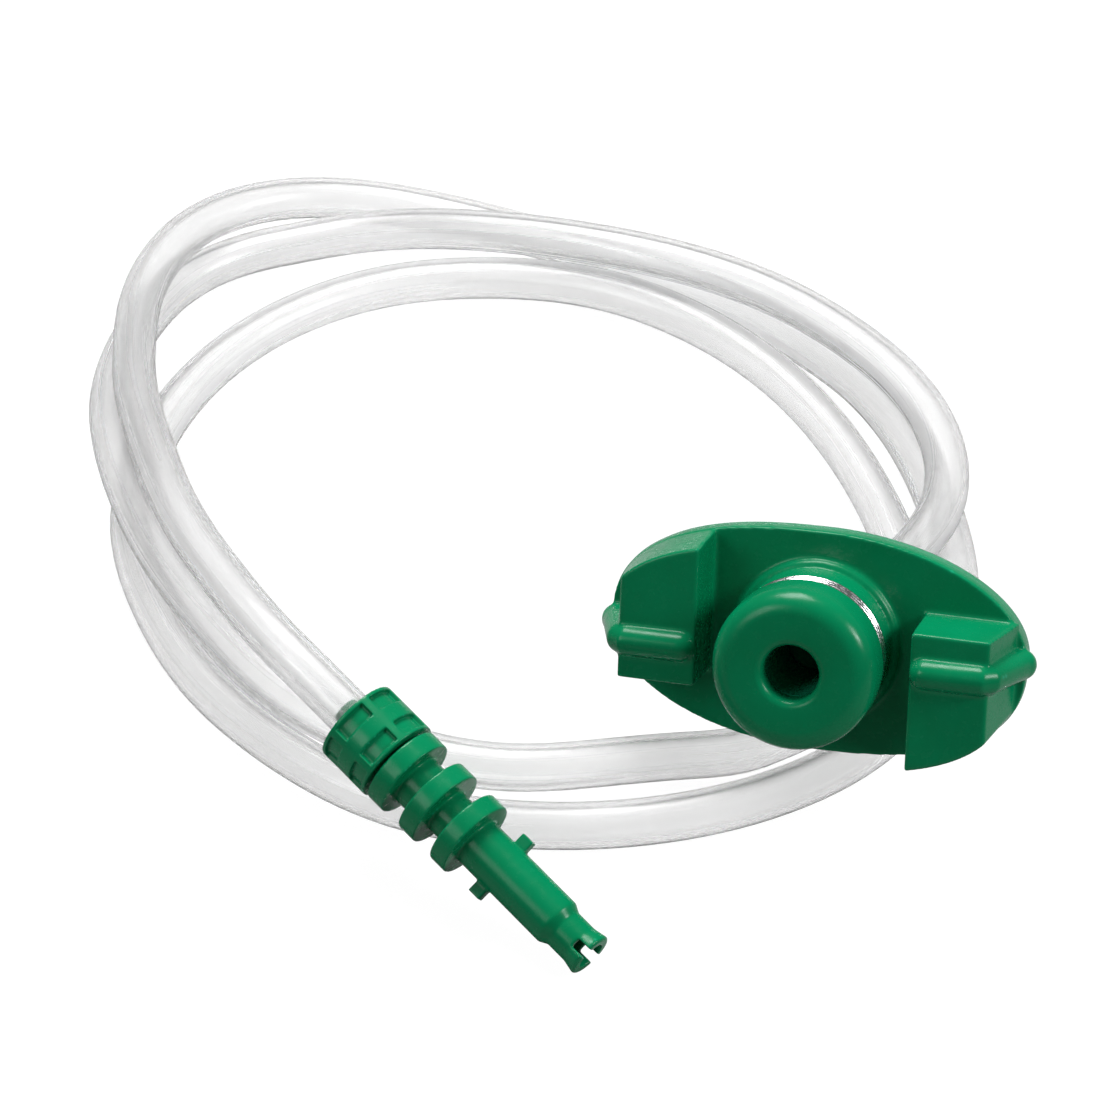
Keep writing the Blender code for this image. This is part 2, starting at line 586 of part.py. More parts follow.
def panel_cutter(low, high):
    """Six sectors that recess one row of panels on the nut."""
    bm = bmesh.new()
    steps = 5
    inner, outer = NUT_RADIUS - NUT_PANEL_DEPTH, NUT_RADIUS + 2
    span = 360 / NUT_PANELS
    for k in range(NUT_PANELS):
        first = k * span + NUT_RIB_ANGLE / 2
        angles = [math.radians(first + (span - NUT_RIB_ANGLE) * i / steps) for i in range(steps + 1)]
        points = [(outer * math.cos(a), outer * math.sin(a)) for a in angles]
        points += [(inner * math.cos(a), inner * math.sin(a)) for a in reversed(angles)]
        sector = prism(points, low, high)
        mesh = bpy.data.meshes.new("sector")
        sector.to_mesh(mesh)
        sector.free()
        bm.from_mesh(mesh)
        bpy.data.meshes.remove(mesh)
    return bm


def coupling_nut(frame, green):
    """Ribbed nut: a cone at the rear squeezes the collet, the thread runs on the socket."""
    edge = 0.5
    cone_end = SOCKET_START - GAP
    outline = [(SOCKET_BORE, 0), (NUT_RADIUS - edge, 0), (NUT_RADIUS, edge),
               (NUT_RADIUS, NUT_LENGTH - edge), (NUT_RADIUS - edge, NUT_LENGTH),
               (NUT_BORE, NUT_LENGTH), (NUT_BORE, cone_end),
               (SOCKET_BORE + COLLET_WALL + GAP, cone_end - COLLET_LENGTH - 2 * GAP),
               (SOCKET_BORE, cone_end - COLLET_LENGTH - 2 * GAP)]
    nut = solid("coupling_nut", turned(outline, 48), frame, green)
    row = (NUT_LENGTH - NUT_BAND) / 2
    rows = ((NUT_RIM, row), (NUT_LENGTH - row, NUT_LENGTH - NUT_RIM))
    for k, (low, high) in enumerate(rows):
        boolean(nut, solid(f"panel_cut_{k}", panel_cutter(low, high), frame), "DIFFERENCE")
    return nut


def collet(frame, green):
    """Split ring between the nut's cone and the hose, slotted from its narrow end."""
    top = SOCKET_START - GAP
    low = top - COLLET_LENGTH
    wide = NUT_BORE - GAP - 0.2
    outline = [(SOCKET_BORE, low), (SOCKET_BORE + COLLET_WALL - 0.1, low), (wide, top - 1.0),
               (wide, top - GAP), (SOCKET_BORE, top - GAP)]
    ring_body = solid("collet", turned(outline, 32), frame, green)
    for k in range(COLLET_SLOTS // 2):
        slot = box((-12, -0.5, low - 1), (12, 0.5, top - 1.6))
        turn = Matrix.Rotation(math.pi * 2 * k / COLLET_SLOTS, 3, "Z")
        bmesh.ops.rotate(slot, cent=(0, 0, 0), matrix=turn, verts=slot.verts)
        boolean(ring_body, solid(f"collet_slot_cut_{k}", slot, frame), "DIFFERENCE")
    return ring_body


def build_nozzle(layout, finishes):
    """All the pieces of the nozzle, laid so that its tip rests on the ground."""
    dip = math.radians(NOZZLE_DIP)
    rise = (NOZZLE_LENGTH - NOZZLE_EDGE) * math.sin(dip) + TIP_FLARE * math.cos(dip)
    turn = (Matrix.Rotation(math.radians(NOZZLE_HEADING), 4, "Z")
            @ Matrix.Rotation(math.radians(90) + dip, 4, "Y")
            @ Matrix.Rotation(math.radians(NOZZLE_ROLL), 4, "Z"))
    place = Vector((*NOZZLE_AT, rise)) + Vector(LAYOUT_SHIFT)
    frame = empty("nozzle_frame", Matrix.Translation(place * MM) @ turn)
    frame.parent = layout
    nozzle_body(frame, finishes["green"])
    coupling_nut(frame, finishes["green"])
    collet(frame, finishes["green"])
    floor = FLANGES[0][0] - 1.0
    ring("hose_gasket", frame, finishes["rubber"], SPIGOT_RADIUS + 0.2, SOCKET_BORE - GAP,
         floor - GAP - HOSE_GASKET, floor - GAP, 32)
    return frame


# ----------------------------------------------------------------------------------------
# Hose
# ----------------------------------------------------------------------------------------
def smooth_curve(points, count, end_step):
    """Read evenly spaced points from the natural cubic spline through the given ones.

    One more point stands end_step from each end, which keeps the tube's ends square.
    """
    given = np.array(points, float)
    along = np.r_[0, np.cumsum(np.linalg.norm(np.diff(given, axis=0), axis=1))]
    gaps = np.diff(along)
    size = len(given)
    matrix, right = np.eye(size), np.zeros((size, 3))
    for i in range(1, size - 1):
        matrix[i, i - 1:i + 2] = gaps[i - 1], 2 * (gaps[i - 1] + gaps[i]), gaps[i]
        right[i] = 6 * ((given[i + 1] - given[i]) / gaps[i] - (given[i] - given[i - 1]) / gaps[i - 1])
    bend = np.linalg.solve(matrix, right)

    def at(distances):
        i = np.clip(np.searchsorted(along, distances, side="right") - 1, 0, size - 2)
        u, gap = (distances - along[i])[:, None], gaps[i][:, None]
        slope = (given[i + 1] - given[i]) / gap - gap * (2 * bend[i] + bend[i + 1]) / 6
        return given[i] + slope * u + bend[i] / 2 * u**2 + (bend[i + 1] - bend[i]) / (6 * gap) * u**3

    fine = at(np.linspace(0, along[-1], 4000))
    length = np.r_[0, np.cumsum(np.linalg.norm(np.diff(fine, axis=0), axis=1))]
    even = np.linspace(0, length[-1], count - 2)
    even = np.r_[0, end_step, even[1:-1], length[-1] - end_step, length[-1]]
    return np.stack([np.interp(even, length, fine[:, k]) for k in range(3)], axis=1)


def hose_route(head, nozzle):
    """The route's points, led straight out of the spigot and straight into the barb."""
    leads = [GAP, HOSE_DIAMETER / 4, HOSE_DIAMETER / 2, HOSE_DIAMETER]
    out = [nozzle.matrix_world @ Vector((0, 0, (-SPIGOT_TAIL - lead) * MM)) for lead in leads]
    back = [head.matrix_world @ Vector((0, 0, (BARB_END - lead) * MM)) for lead in reversed(leads)]
    shift = Vector(LAYOUT_SHIFT)
    return [*(p / MM - shift for p in out), *HOSE_ROUTE, *(p / MM - shift for p in back)]


def build_hose(layout, clear, head, nozzle):
    """The hose as a plain tube along its smooth centre line."""
    curve = bpy.data.curves.new("hose", "CURVE")
    curve.dimensions = "3D"
    curve.bevel_depth = HOSE_RADIUS * MM
    curve.bevel_resolution = 3
    curve.use_fill_caps = True
    line = curve.splines.new("POLY")
    points = smooth_curve(hose_route(head, nozzle), HOSE_POINTS, HOSE_RADIUS)
    line.points.add(len(points) - 1)
    shift = np.array(LAYOUT_SHIFT)
    for point, place in zip(line.points, points):
        place[2] = max(place[2], HOSE_RADIUS)
        point.co = (*((place + shift) * MM), 1.0)
    curve.materials.append(clear)
    hose = bpy.data.objects.new("hose", curve)
    hose.parent = layout
    bpy.context.scene.collection.objects.link(hose)


def main():
    """Build the whole assembly."""
    clear_scene()
    finishes = {
        "green": plastic("green_plastic", (0.0, 0.16, 0.055), 0.32),
        "rubber": plastic("black_rubber", (0.02, 0.02, 0.02), 0.6),
        "steel": plastic("spring_steel", (0.72, 0.72, 0.74), 0.25, metallic=1.0),
        "clear": plastic("clear_hose", (0.86, 0.87, 0.87), 0.15, alpha=0.45),
    }
    layout = empty("layout", Matrix.Identity(4))
    nozzle = build_nozzle(layout, finishes)
    head = build_head(layout, finishes)
    bpy.context.view_layer.update()
    build_hose(layout, finishes["clear"], head, nozzle)


main()
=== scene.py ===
"""Looks of a clear hose in loose coils, with a winged valve head and a bayonet nozzle.

Sizes in the classes are in millimetres. Each sub-assembly is built along its own Z axis and
placed by a matrix, as in the part's source.
"""

import logging
import math
from collections.abc import Sequence
from dataclasses import dataclass
from enum import Enum

import bmesh
import bpy
import numpy as np
from mathutils import Matrix, Vector


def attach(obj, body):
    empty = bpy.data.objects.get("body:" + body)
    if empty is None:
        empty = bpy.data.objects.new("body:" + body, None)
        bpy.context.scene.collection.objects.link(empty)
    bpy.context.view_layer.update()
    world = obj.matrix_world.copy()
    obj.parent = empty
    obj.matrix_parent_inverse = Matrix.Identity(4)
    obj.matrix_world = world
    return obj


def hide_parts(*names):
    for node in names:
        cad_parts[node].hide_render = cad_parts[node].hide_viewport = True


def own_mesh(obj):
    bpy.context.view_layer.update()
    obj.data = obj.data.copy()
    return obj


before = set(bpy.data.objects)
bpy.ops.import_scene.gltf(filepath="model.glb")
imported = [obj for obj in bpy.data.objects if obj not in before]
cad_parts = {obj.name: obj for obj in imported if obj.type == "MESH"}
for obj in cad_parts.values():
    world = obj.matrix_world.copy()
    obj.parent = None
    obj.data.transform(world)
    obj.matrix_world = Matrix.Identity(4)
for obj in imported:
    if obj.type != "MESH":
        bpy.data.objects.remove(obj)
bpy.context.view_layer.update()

MM = 0.001
LOG = logging.getLogger("hose_scene")
Outline = list[tuple[float, float]]
Colour = tuple[float, float, float]
Socket = bpy.types.NodeSocket
Object = bpy.types.Object
BMesh = bmesh.types.BMesh
Ring = list[bmesh.types.BMVert]
Materials = dict["Slot", bpy.types.Material]
GAP = 0.3                            # clearance between pieces that seat on each other
GRAIN_MAP = "length_and_turn"        # UV map of the hose: share of its length, share of its turn


class Body(Enum):
    """Rigid bodies of the frame."""

    ROOT = "root"
    NOSE = "nose"
    COLLET = "collet"
    NUT = "nut"


class Slot(Enum):
    """Material slots of the record."""

    GREEN = "green_plastic"
    CLEAR = "clear_hose"
    RUBBER = "black_rubber"
    STEEL = "spring_steel"


# ----------------------------------------------------------------------------------------
# Finishes
# ----------------------------------------------------------------------------------------
@dataclass
class Recipe:
    """Shader nodes of one material while they are put together.

    Attributes:
        tree: The material's node tree.
    """

    tree: bpy.types.NodeTree

    def node(self, kind: str, values: dict[str, float] | None = None) -> bpy.types.Node:
        """Add a node.

        Args:
            kind: Its type, without the "ShaderNode" in front.
            values: Values of its sockets.

        Returns:
            The node.
        """
        node = self.tree.nodes.new(f"ShaderNode{kind}")
        for name, value in (values or {}).items():
            node.inputs[name].default_value = value
        return node

    def link(self, source: Socket, node: bpy.types.Node, name: str | int) -> None:
        """Lead a socket to an input of a node."""
        self.tree.links.new(source, node.inputs[name])

    def principled(self, values: dict[str, Socket | float]) -> None:
        """Set inputs of the Principled shader, to sockets or to plain values."""
        shader = self.tree.nodes["Principled BSDF"]
        for name, value in values.items():
            if isinstance(value, Socket):
                self.link(value, shader, name)
            else:
                shader.inputs[name].default_value = value

    def coordinates(self) -> Socket:
        """Object coordinates, which are metres in the row frame."""
        return self.node("TexCoord").outputs["Object"]

    def noise(self, place: Socket, scale: float, detail: float = 3.0) -> Socket:
        """Add a noise texture.

        Args:
            place: Socket with the coordinates.
            scale: Features per metre.
            detail: Octaves.

        Returns:
            The noise's value.
        """
        node = self.node("TexNoise", {"Scale": scale, "Detail": detail})
        self.link(place, node, "Vector")
        return node.outputs["Fac"]

    def spread(self, value: Socket, low: float = 0.0, high: float = 1.0) -> Socket:
        """Map the middle of a noise to a range.

        Args:
            value: Socket with the noise.
            low: Result at a low value.
            high: Result at a high value.

        Returns:
            The mapped value.
        """
        node = self.node("MapRange", {"From Min": 0.3, "From Max": 0.7, "To Min": low,
                                      "To Max": high})
        self.link(value, node, "Value")
        return node.outputs["Result"]

    def mix(self, factor: Socket, first: Colour | Socket, second: Colour) -> Socket:
        """Mix a colour or a socket with a second colour.

        Args:
            factor: Share of the second colour.
            first: Colour or socket at a factor of 0.
            second: Colour at a factor of 1.

        Returns:
            The mixed colour.
        """
        node = self.node("Mix")
        node.data_type = "RGBA"
        self.link(factor, node, "Factor")
        if isinstance(first, Socket):
            self.link(first, node, "A")
        else:
            node.inputs["A"].default_value = (*first, 1.0)
        node.inputs["B"].default_value = (*second, 1.0)
        return node.outputs["Result"]

    def bump(self, height: Socket, strength: float, depth: float) -> Socket:
        """Turn a height into a normal.

        Args:
            height: Socket with the height.
            strength: Strength of the bump.
            depth: Depth in metres.

        Returns:
            The normal.
        """
        node = self.node("Bump", {"Strength": strength, "Distance": depth})
        self.link(height, node, "Height")
        return node.outputs["Normal"]


@dataclass(frozen=True)
class Finish:
    """A finish made of shader nodes.

    Attributes:
        name: Name of the material.
        colour: Main colour, linear RGB.
        roughness: Lowest and highest roughness.
        second: Colour of its marks, streaks or dust.
    """

    name: str
    colour: Colour
    roughness: tuple[float, float]
    second: Colour

    def dress(self, nodes: Recipe) -> None:
        """Add the nodes of the finish."""
        raise NotImplementedError

    def make(self) -> bpy.types.Material:
        """Make the material."""
        material = bpy.data.materials.new(self.name)
        material.use_nodes = True
        self.dress(Recipe(material.node_tree))
        return material


@dataclass(frozen=True)
class MouldedPlastic(Finish):
    """Dyed plastic with faint flow marks, a fine grain and a painted highlight on its convex edges.

    Attributes:
        edge: Colour of the painted highlight on convex edges.
        flow_scale: Flow marks per metre.
        gloss_scale: Changes of gloss per metre.
        grain_scale: Grains per metre.
        shine: Level of its reflections.
    """

    edge: Colour
    flow_scale: float = 55.0
    gloss_scale: float = 420.0
    grain_scale: float = 2600.0
    shine: float = 0.14

    def dress(self, nodes: Recipe) -> None:
        """Add the nodes of the finish."""
        place = nodes.coordinates()
        dyed = nodes.mix(nodes.spread(nodes.noise(place, self.flow_scale)), self.colour, self.second)
        # Painted highlight: convex edges, found by pointiness, are mixed towards the paler edge
        # colour.
        edge_highlight_mask = nodes.node("MapRange", {"From Min": 0.53, "From Max": 0.62, "To Max": 0.45})
        nodes.link(nodes.node("NewGeometry").outputs["Pointiness"], edge_highlight_mask, "Value")
        nodes.principled({
            "Base Color": nodes.mix(edge_highlight_mask.outputs["Result"], dyed, self.edge),
            "Roughness": nodes.spread(nodes.noise(place, self.gloss_scale), *self.roughness),
            "Normal": nodes.bump(nodes.noise(place, self.grain_scale, 2.0), 0.06, 0.00004),
            "Specular IOR Level": self.shine,
        })


@dataclass(frozen=True)
class ClearVinyl(Finish):
    """Clear soft tube with drawn streaks along it and a faint haze.

    Attributes:
        streaks: Streaks in the tube's whole length and round it.
        clearness: Share of the light that goes through.
    """

    streaks: tuple[float, float] = (2.5, 9.0)
    clearness: float = 0.92

    def dress(self, nodes: Recipe) -> None:
        """Add the nodes of the finish."""
        around = nodes.node("UVMap")
        around.uv_map = GRAIN_MAP
        stretch = nodes.node("Mapping", {"Scale": (*self.streaks, 1.0)})
        nodes.link(around.outputs["UV"], stretch, "Vector")
        streak = nodes.noise(stretch.outputs["Vector"], 1.0)
        nodes.principled({
            "Base Color": nodes.mix(nodes.spread(streak), self.colour, self.second),
            "Roughness": nodes.spread(streak, *self.roughness),
            "Normal": nodes.bump(streak, 0.04, 0.0003),
            "Transmission Weight": self.clearness,
            "IOR": 1.33,
        })


@dataclass(frozen=True)
class SoftRubber(Finish):
    """Black rubber with a dusty bloom."""

    def dress(self, nodes: Recipe) -> None:
        """Add the nodes of the finish."""
        place = nodes.coordinates()
        nodes.principled({
            "Base Color": nodes.mix(nodes.spread(nodes.noise(place, 300.0)), self.colour,
                                    self.second),
            "Roughness": nodes.spread(nodes.noise(place, 900.0), *self.roughness),
            "Normal": nodes.bump(nodes.noise(place, 3000.0), 0.2, 0.00005),
        })


@dataclass(frozen=True)
class DrawnSteel(Finish):
    """Bright steel with draw marks."""

    def dress(self, nodes: Recipe) -> None:
        """Add the nodes of the finish."""
        marks = nodes.spread(nodes.noise(nodes.coordinates(), 1500.0))
        nodes.principled({
            "Base Color": nodes.mix(marks, self.colour, self.second),
            "Roughness": nodes.spread(marks, *self.roughness),
            "Metallic": 1.0,
        })


@dataclass(frozen=True)
class PaleFloor(Finish):
    """Pale studio sheet, lit through from below where it is seen.

    Attributes:
        glow: Share of its own light.
        strength: Strength of its own light.
    """

    glow: float
    strength: float

    def dress(self, nodes: Recipe) -> None:
        """Add the nodes of the finish."""
        grain = nodes.spread(nodes.noise(nodes.coordinates(), 8.0))
        nodes.principled({
            "Base Color": nodes.mix(grain, self.colour, self.second),
            "Roughness": self.roughness[0],
            "Specular IOR Level": 0.0,
        })
        light = nodes.node("Emission", {"Strength": self.strength})
        path = nodes.node("LightPath")
        seen = nodes.node("Math")
        seen.operation = "MAXIMUM"
        nodes.link(path.outputs["Is Camera Ray"], seen, 0)
        nodes.link(path.outputs["Is Transmission Ray"], seen, 1)
        share = nodes.node("Math", {1: self.glow})
        share.operation = "MULTIPLY"
        nodes.link(seen.outputs["Value"], share, 0)
        blend = nodes.node("MixShader")
        nodes.link(share.outputs["Value"], blend, "Fac")
        nodes.link(nodes.tree.nodes["Principled BSDF"].outputs["BSDF"], blend, 1)
        nodes.link(light.outputs["Emission"], blend, 2)
        nodes.link(blend.outputs["Shader"], nodes.tree.nodes["Material Output"], "Surface")


FINISHES: dict[Slot, Finish] = {
    Slot.GREEN: MouldedPlastic("green_plastic", (0.0004, 0.143, 0.054), (0.20, 0.30),
                               (0.0006, 0.165, 0.066), (0.012, 0.28, 0.16)),
    Slot.CLEAR: ClearVinyl("clear_vinyl", (0.975, 0.975, 0.975), (0.20, 0.32),
                           (0.92, 0.92, 0.92)),
    Slot.RUBBER: SoftRubber("black_rubber", (0.012, 0.012, 0.012), (0.5, 0.7),
                            (0.03, 0.03, 0.03)),
    Slot.STEEL: DrawnSteel("spring_steel", (0.78, 0.77, 0.78), (0.18, 0.32), (0.6, 0.58, 0.6)),
}


# ----------------------------------------------------------------------------------------
# Shapes
# ----------------------------------------------------------------------------------------
def shown(name: str, data: bpy.types.ID) -> Object:
    """Put data in the scene as an object."""
    thing = bpy.data.objects.new(name, data)
    bpy.context.scene.collection.objects.link(thing)
    return thing


def solid(name: str, bm: BMesh, sharp: float) -> Object:
    """Turn a mesh in metres into an object in the scene.

    Args:
        name: Its name.
        bm: Its mesh.
        sharp: Edges above this angle in degrees stay sharp.

    Returns:
        The object.
    """
    data = bpy.data.meshes.new(name)
    bm.to_mesh(data)
    bm.free()
    data.shade_smooth()
    data.set_sharp_from_angle(angle=math.radians(sharp))
    return shown(name, data)


class Shapes:
    """Meshes in millimetres."""

    @staticmethod
    def soften(points: Sequence[tuple[float, float]], radius: float, steps: int = 4) -> Outline:
        """Round the corners of a closed outline.

        Args:
            points: Corners as (radius, z); those on the axis stay sharp.
            radius: How far the rounding reaches along each side.
            steps: Pieces of each rounding.

        Returns:
            The rounded outline.
        """
        result: Outline = []
        count = len(points)
        for i, (r, z) in enumerate(points):
            before, after = points[i - 1], points[(i + 1) % count]
            if r == 0:
                result.append((r, z))
                continue
            here = Vector((r, z))
            back, ahead = Vector(before) - here, Vector(after) - here
            reach = min(radius, 0.45 * back.length, 0.45 * ahead.length)
            if back.angle(ahead) > math.radians(172):
                result.append((r, z))
                continue
            start, end = here + back.normalized() * reach, here + ahead.normalized() * reach
            for k in range(steps + 1):
                t = k / steps
                p = start * (1 - t) ** 2 + here * 2 * t * (1 - t) + end * t**2
                result.append((p.x, p.y))
        return result

    @staticmethod
    def turned(outline: Outline, segments: int = 96) -> BMesh:
        """Turn a closed outline about Z.

        Args:
            outline: Points as (radius, z).
            segments: Pieces of the round.

        Returns:
            The solid.
        """
        bm = bmesh.new()
        turns = [2 * math.pi * i / segments for i in range(segments)]
        rings = []
        for r, z in outline:
            if r == 0:
                rings.append([bm.verts.new((0, 0, z))] * segments)
            else:
                rings.append([bm.verts.new((r * math.cos(a), r * math.sin(a), z)) for a in turns])
        for ring, following in zip(rings, rings[1:] + rings[:1]):
            for i in range(segments):
                j = (i + 1) % segments
                corners = dict.fromkeys((ring[i], ring[j], following[j], following[i]))
                if len(corners) > 2:
                    bm.faces.new(list(corners))
        return bm

    @staticmethod
    def loft(bm: BMesh, rings: Sequence[Ring]) -> BMesh:
        """Join rings of vertices in their order, close both ends and hand the mesh back."""
        for ring, following in zip(rings, rings[1:]):
            for i, corner in enumerate(ring):
                j = (i + 1) % len(ring)
                bm.faces.new((corner, ring[j], following[j], following[i]))
        bm.faces.new(rings[0])
        bm.faces.new(rings[-1])
        return bm

    @staticmethod
    def moved(bm: BMesh, matrix: Matrix) -> BMesh:
        """Move a shape by a matrix and hand it back."""
        bmesh.ops.transform(bm, matrix=matrix, verts=bm.verts)
        return bm

    @classmethod
    def rod(cls, radius: float, low: float, high: float) -> BMesh:
        """Make a round rod about Z between two heights."""
        return cls.turned([(0, low), (radius, low), (radius, high), (0, high)])

    @classmethod
    def prism(cls, layers: Sequence[tuple[Outline, float]]) -> BMesh:
        """Loft closed outlines of the same count at rising heights.

        Args:
            layers: Each outline of (x, y) points with its z.

        Returns:
            The solid.
        """
        bm = bmesh.new()
        return cls.loft(bm, [[bm.verts.new((x, y, z)) for x, y in points] for points, z in layers])

    @classmethod
    def box(cls, low: Sequence[float], high: Sequence[float]) -> BMesh:
        """Make a box from its lowest and highest corners."""
        corners = [(low[0], low[1]), (high[0], low[1]), (high[0], high[1]), (low[0], high[1])]
        return cls.prism([(corners, low[2]), (corners, high[2])])

    @classmethod
    def swept(cls, path: Sequence[Sequence[float]], radius: float, sides: int,
              caps: int = 0) -> BMesh:
        """Sweep a circle along a path.

        Args:
            path: Points of the centre line.
            radius: Radius of the circle.
            sides: Points on the circle.
            caps: Rings of each round end; 0 leaves flat ends.

        Returns:
            The solid.
        """
        points = [Vector(p) for p in path]
        ways = [(b - a).normalized() for a, b in zip(points, points[1:])]
        tangents = [ways[0]] + [(a + b).normalized() for a, b in zip(ways, ways[1:])] + [ways[-1]]
        stations = [(p, t, radius) for p, t in zip(points, tangents)]
        angles = [math.pi / 2 * (k + 0.6) / (caps + 0.6) for k in range(caps)]
        head = [(points[0] - tangents[0] * radius * math.sin(a), tangents[0], radius * math.cos(a))
                for a in reversed(angles)]
        tail = [(points[-1] + tangents[-1] * radius * math.sin(a), tangents[-1],
                 radius * math.cos(a)) for a in angles]
        bm = bmesh.new()
        across = tangents[0].orthogonal().normalized()
        rings = []
        for centre, along, size in head + stations + tail:
            across = (across - along * across.dot(along)).normalized()
            up = along.cross(across)
            turns = [2 * math.pi * k / sides for k in range(sides)]
            rings.append([bm.verts.new(centre + (across * math.cos(a) + up * math.sin(a)) * size)
                          for a in turns])
        return cls.loft(bm, rings)


@dataclass
class Placed:
    """A sub-assembly's own frame, with what turns its meshes into pieces.

    Attributes:
        place: Matrix from the sub-assembly's millimetres to metres in the row frame.
        materials: The material of each slot.
    """

    place: Matrix
    materials: Materials

    def mesh(self, name: str, bm: BMesh, sharp: float = 35.0) -> Object:
        """Turn a bmesh into a placed object.

        Args:
            name: Name of the piece.
            bm: Its shape, in millimetres.
            sharp: Edges above this angle in degrees stay sharp.

        Returns:
            The object, linked to the scene, with its place in its mesh.
        """
        bmesh.ops.recalc_face_normals(bm, faces=bm.faces)
        return solid(name, Shapes.moved(bm, self.place), sharp)

    def carved(self, name: str, base: BMesh, adds: Sequence[BMesh] = (),
               cuts: Sequence[BMesh] = (), voxel: float = 0.0,
               passes: int = 0) -> Object:
        """Join and cut solids, then soften every edge as a moulding's edges are.

        Args:
            name: Name of the piece.
            base: First solid, in millimetres.
            adds: Solids that are joined to it.
            cuts: Solids that are cut from it.
            voxel: Grid of the softened mesh; 0 keeps the mesh as it was cut.
            passes: Smoothing passes over the softened mesh.

        Returns:
            The finished object.
        """
        flat = Placed(Matrix.Scale(MM, 4), self.materials)
        piece = flat.mesh(name, base)
        tools = []
        jobs = [(bm, "UNION") for bm in adds] + [(bm, "DIFFERENCE") for bm in cuts]
        for bm, operation in jobs:
            tool = flat.mesh(f"{name}_tool", bm)
            modifier = piece.modifiers.new("cut", "BOOLEAN")
            modifier.operation = operation
            modifier.solver = "EXACT"
            modifier.object = tool
            tools.append(tool)
        if voxel:
            grid = piece.modifiers.new("grid", "REMESH")
            grid.mode = "VOXEL"
            grid.voxel_size = voxel * MM
            grid.use_smooth_shade = True
            relax = piece.modifiers.new("relax", "SMOOTH")
            relax.factor = 0.5
            relax.iterations = passes
        bpy.context.view_layer.update()
        seen = piece.evaluated_get(bpy.context.evaluated_depsgraph_get())
        data = bpy.data.meshes.new_from_object(seen)
        piece.modifiers.clear()
        piece.data = data
        data.name = name
        data.transform(self.place @ Matrix.Scale(1 / MM, 4))
        for tool in tools:
            bpy.data.objects.remove(tool, do_unlink=True)
        data.shade_smooth()
        if not voxel:
            data.set_sharp_from_angle(angle=math.radians(35))
        return piece

    def settle(self, piece: Object, slot: Slot, body: Body,
               *nodes: str) -> Object:
        """Dress a piece, put it on its body and let it stand for CAD nodes.

        Args:
            piece: The piece.
            slot: Its material slot.
            body: The body that it rides on.
            *nodes: CAD nodes that it replaces.

        Returns:
            The piece.
        """
        piece.data.materials.clear()
        piece.data.materials.append(self.materials[slot])
        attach(piece, body.value)
        if nodes:
            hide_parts(*nodes)
        LOG.info("%s rides on %s", piece.name, body.value)
        return piece

    def point(self, x: float, y: float, z: float) -> Vector:
        """A point of the sub-assembly in the row frame, in metres."""
        return self.place @ Vector((x, y, z))


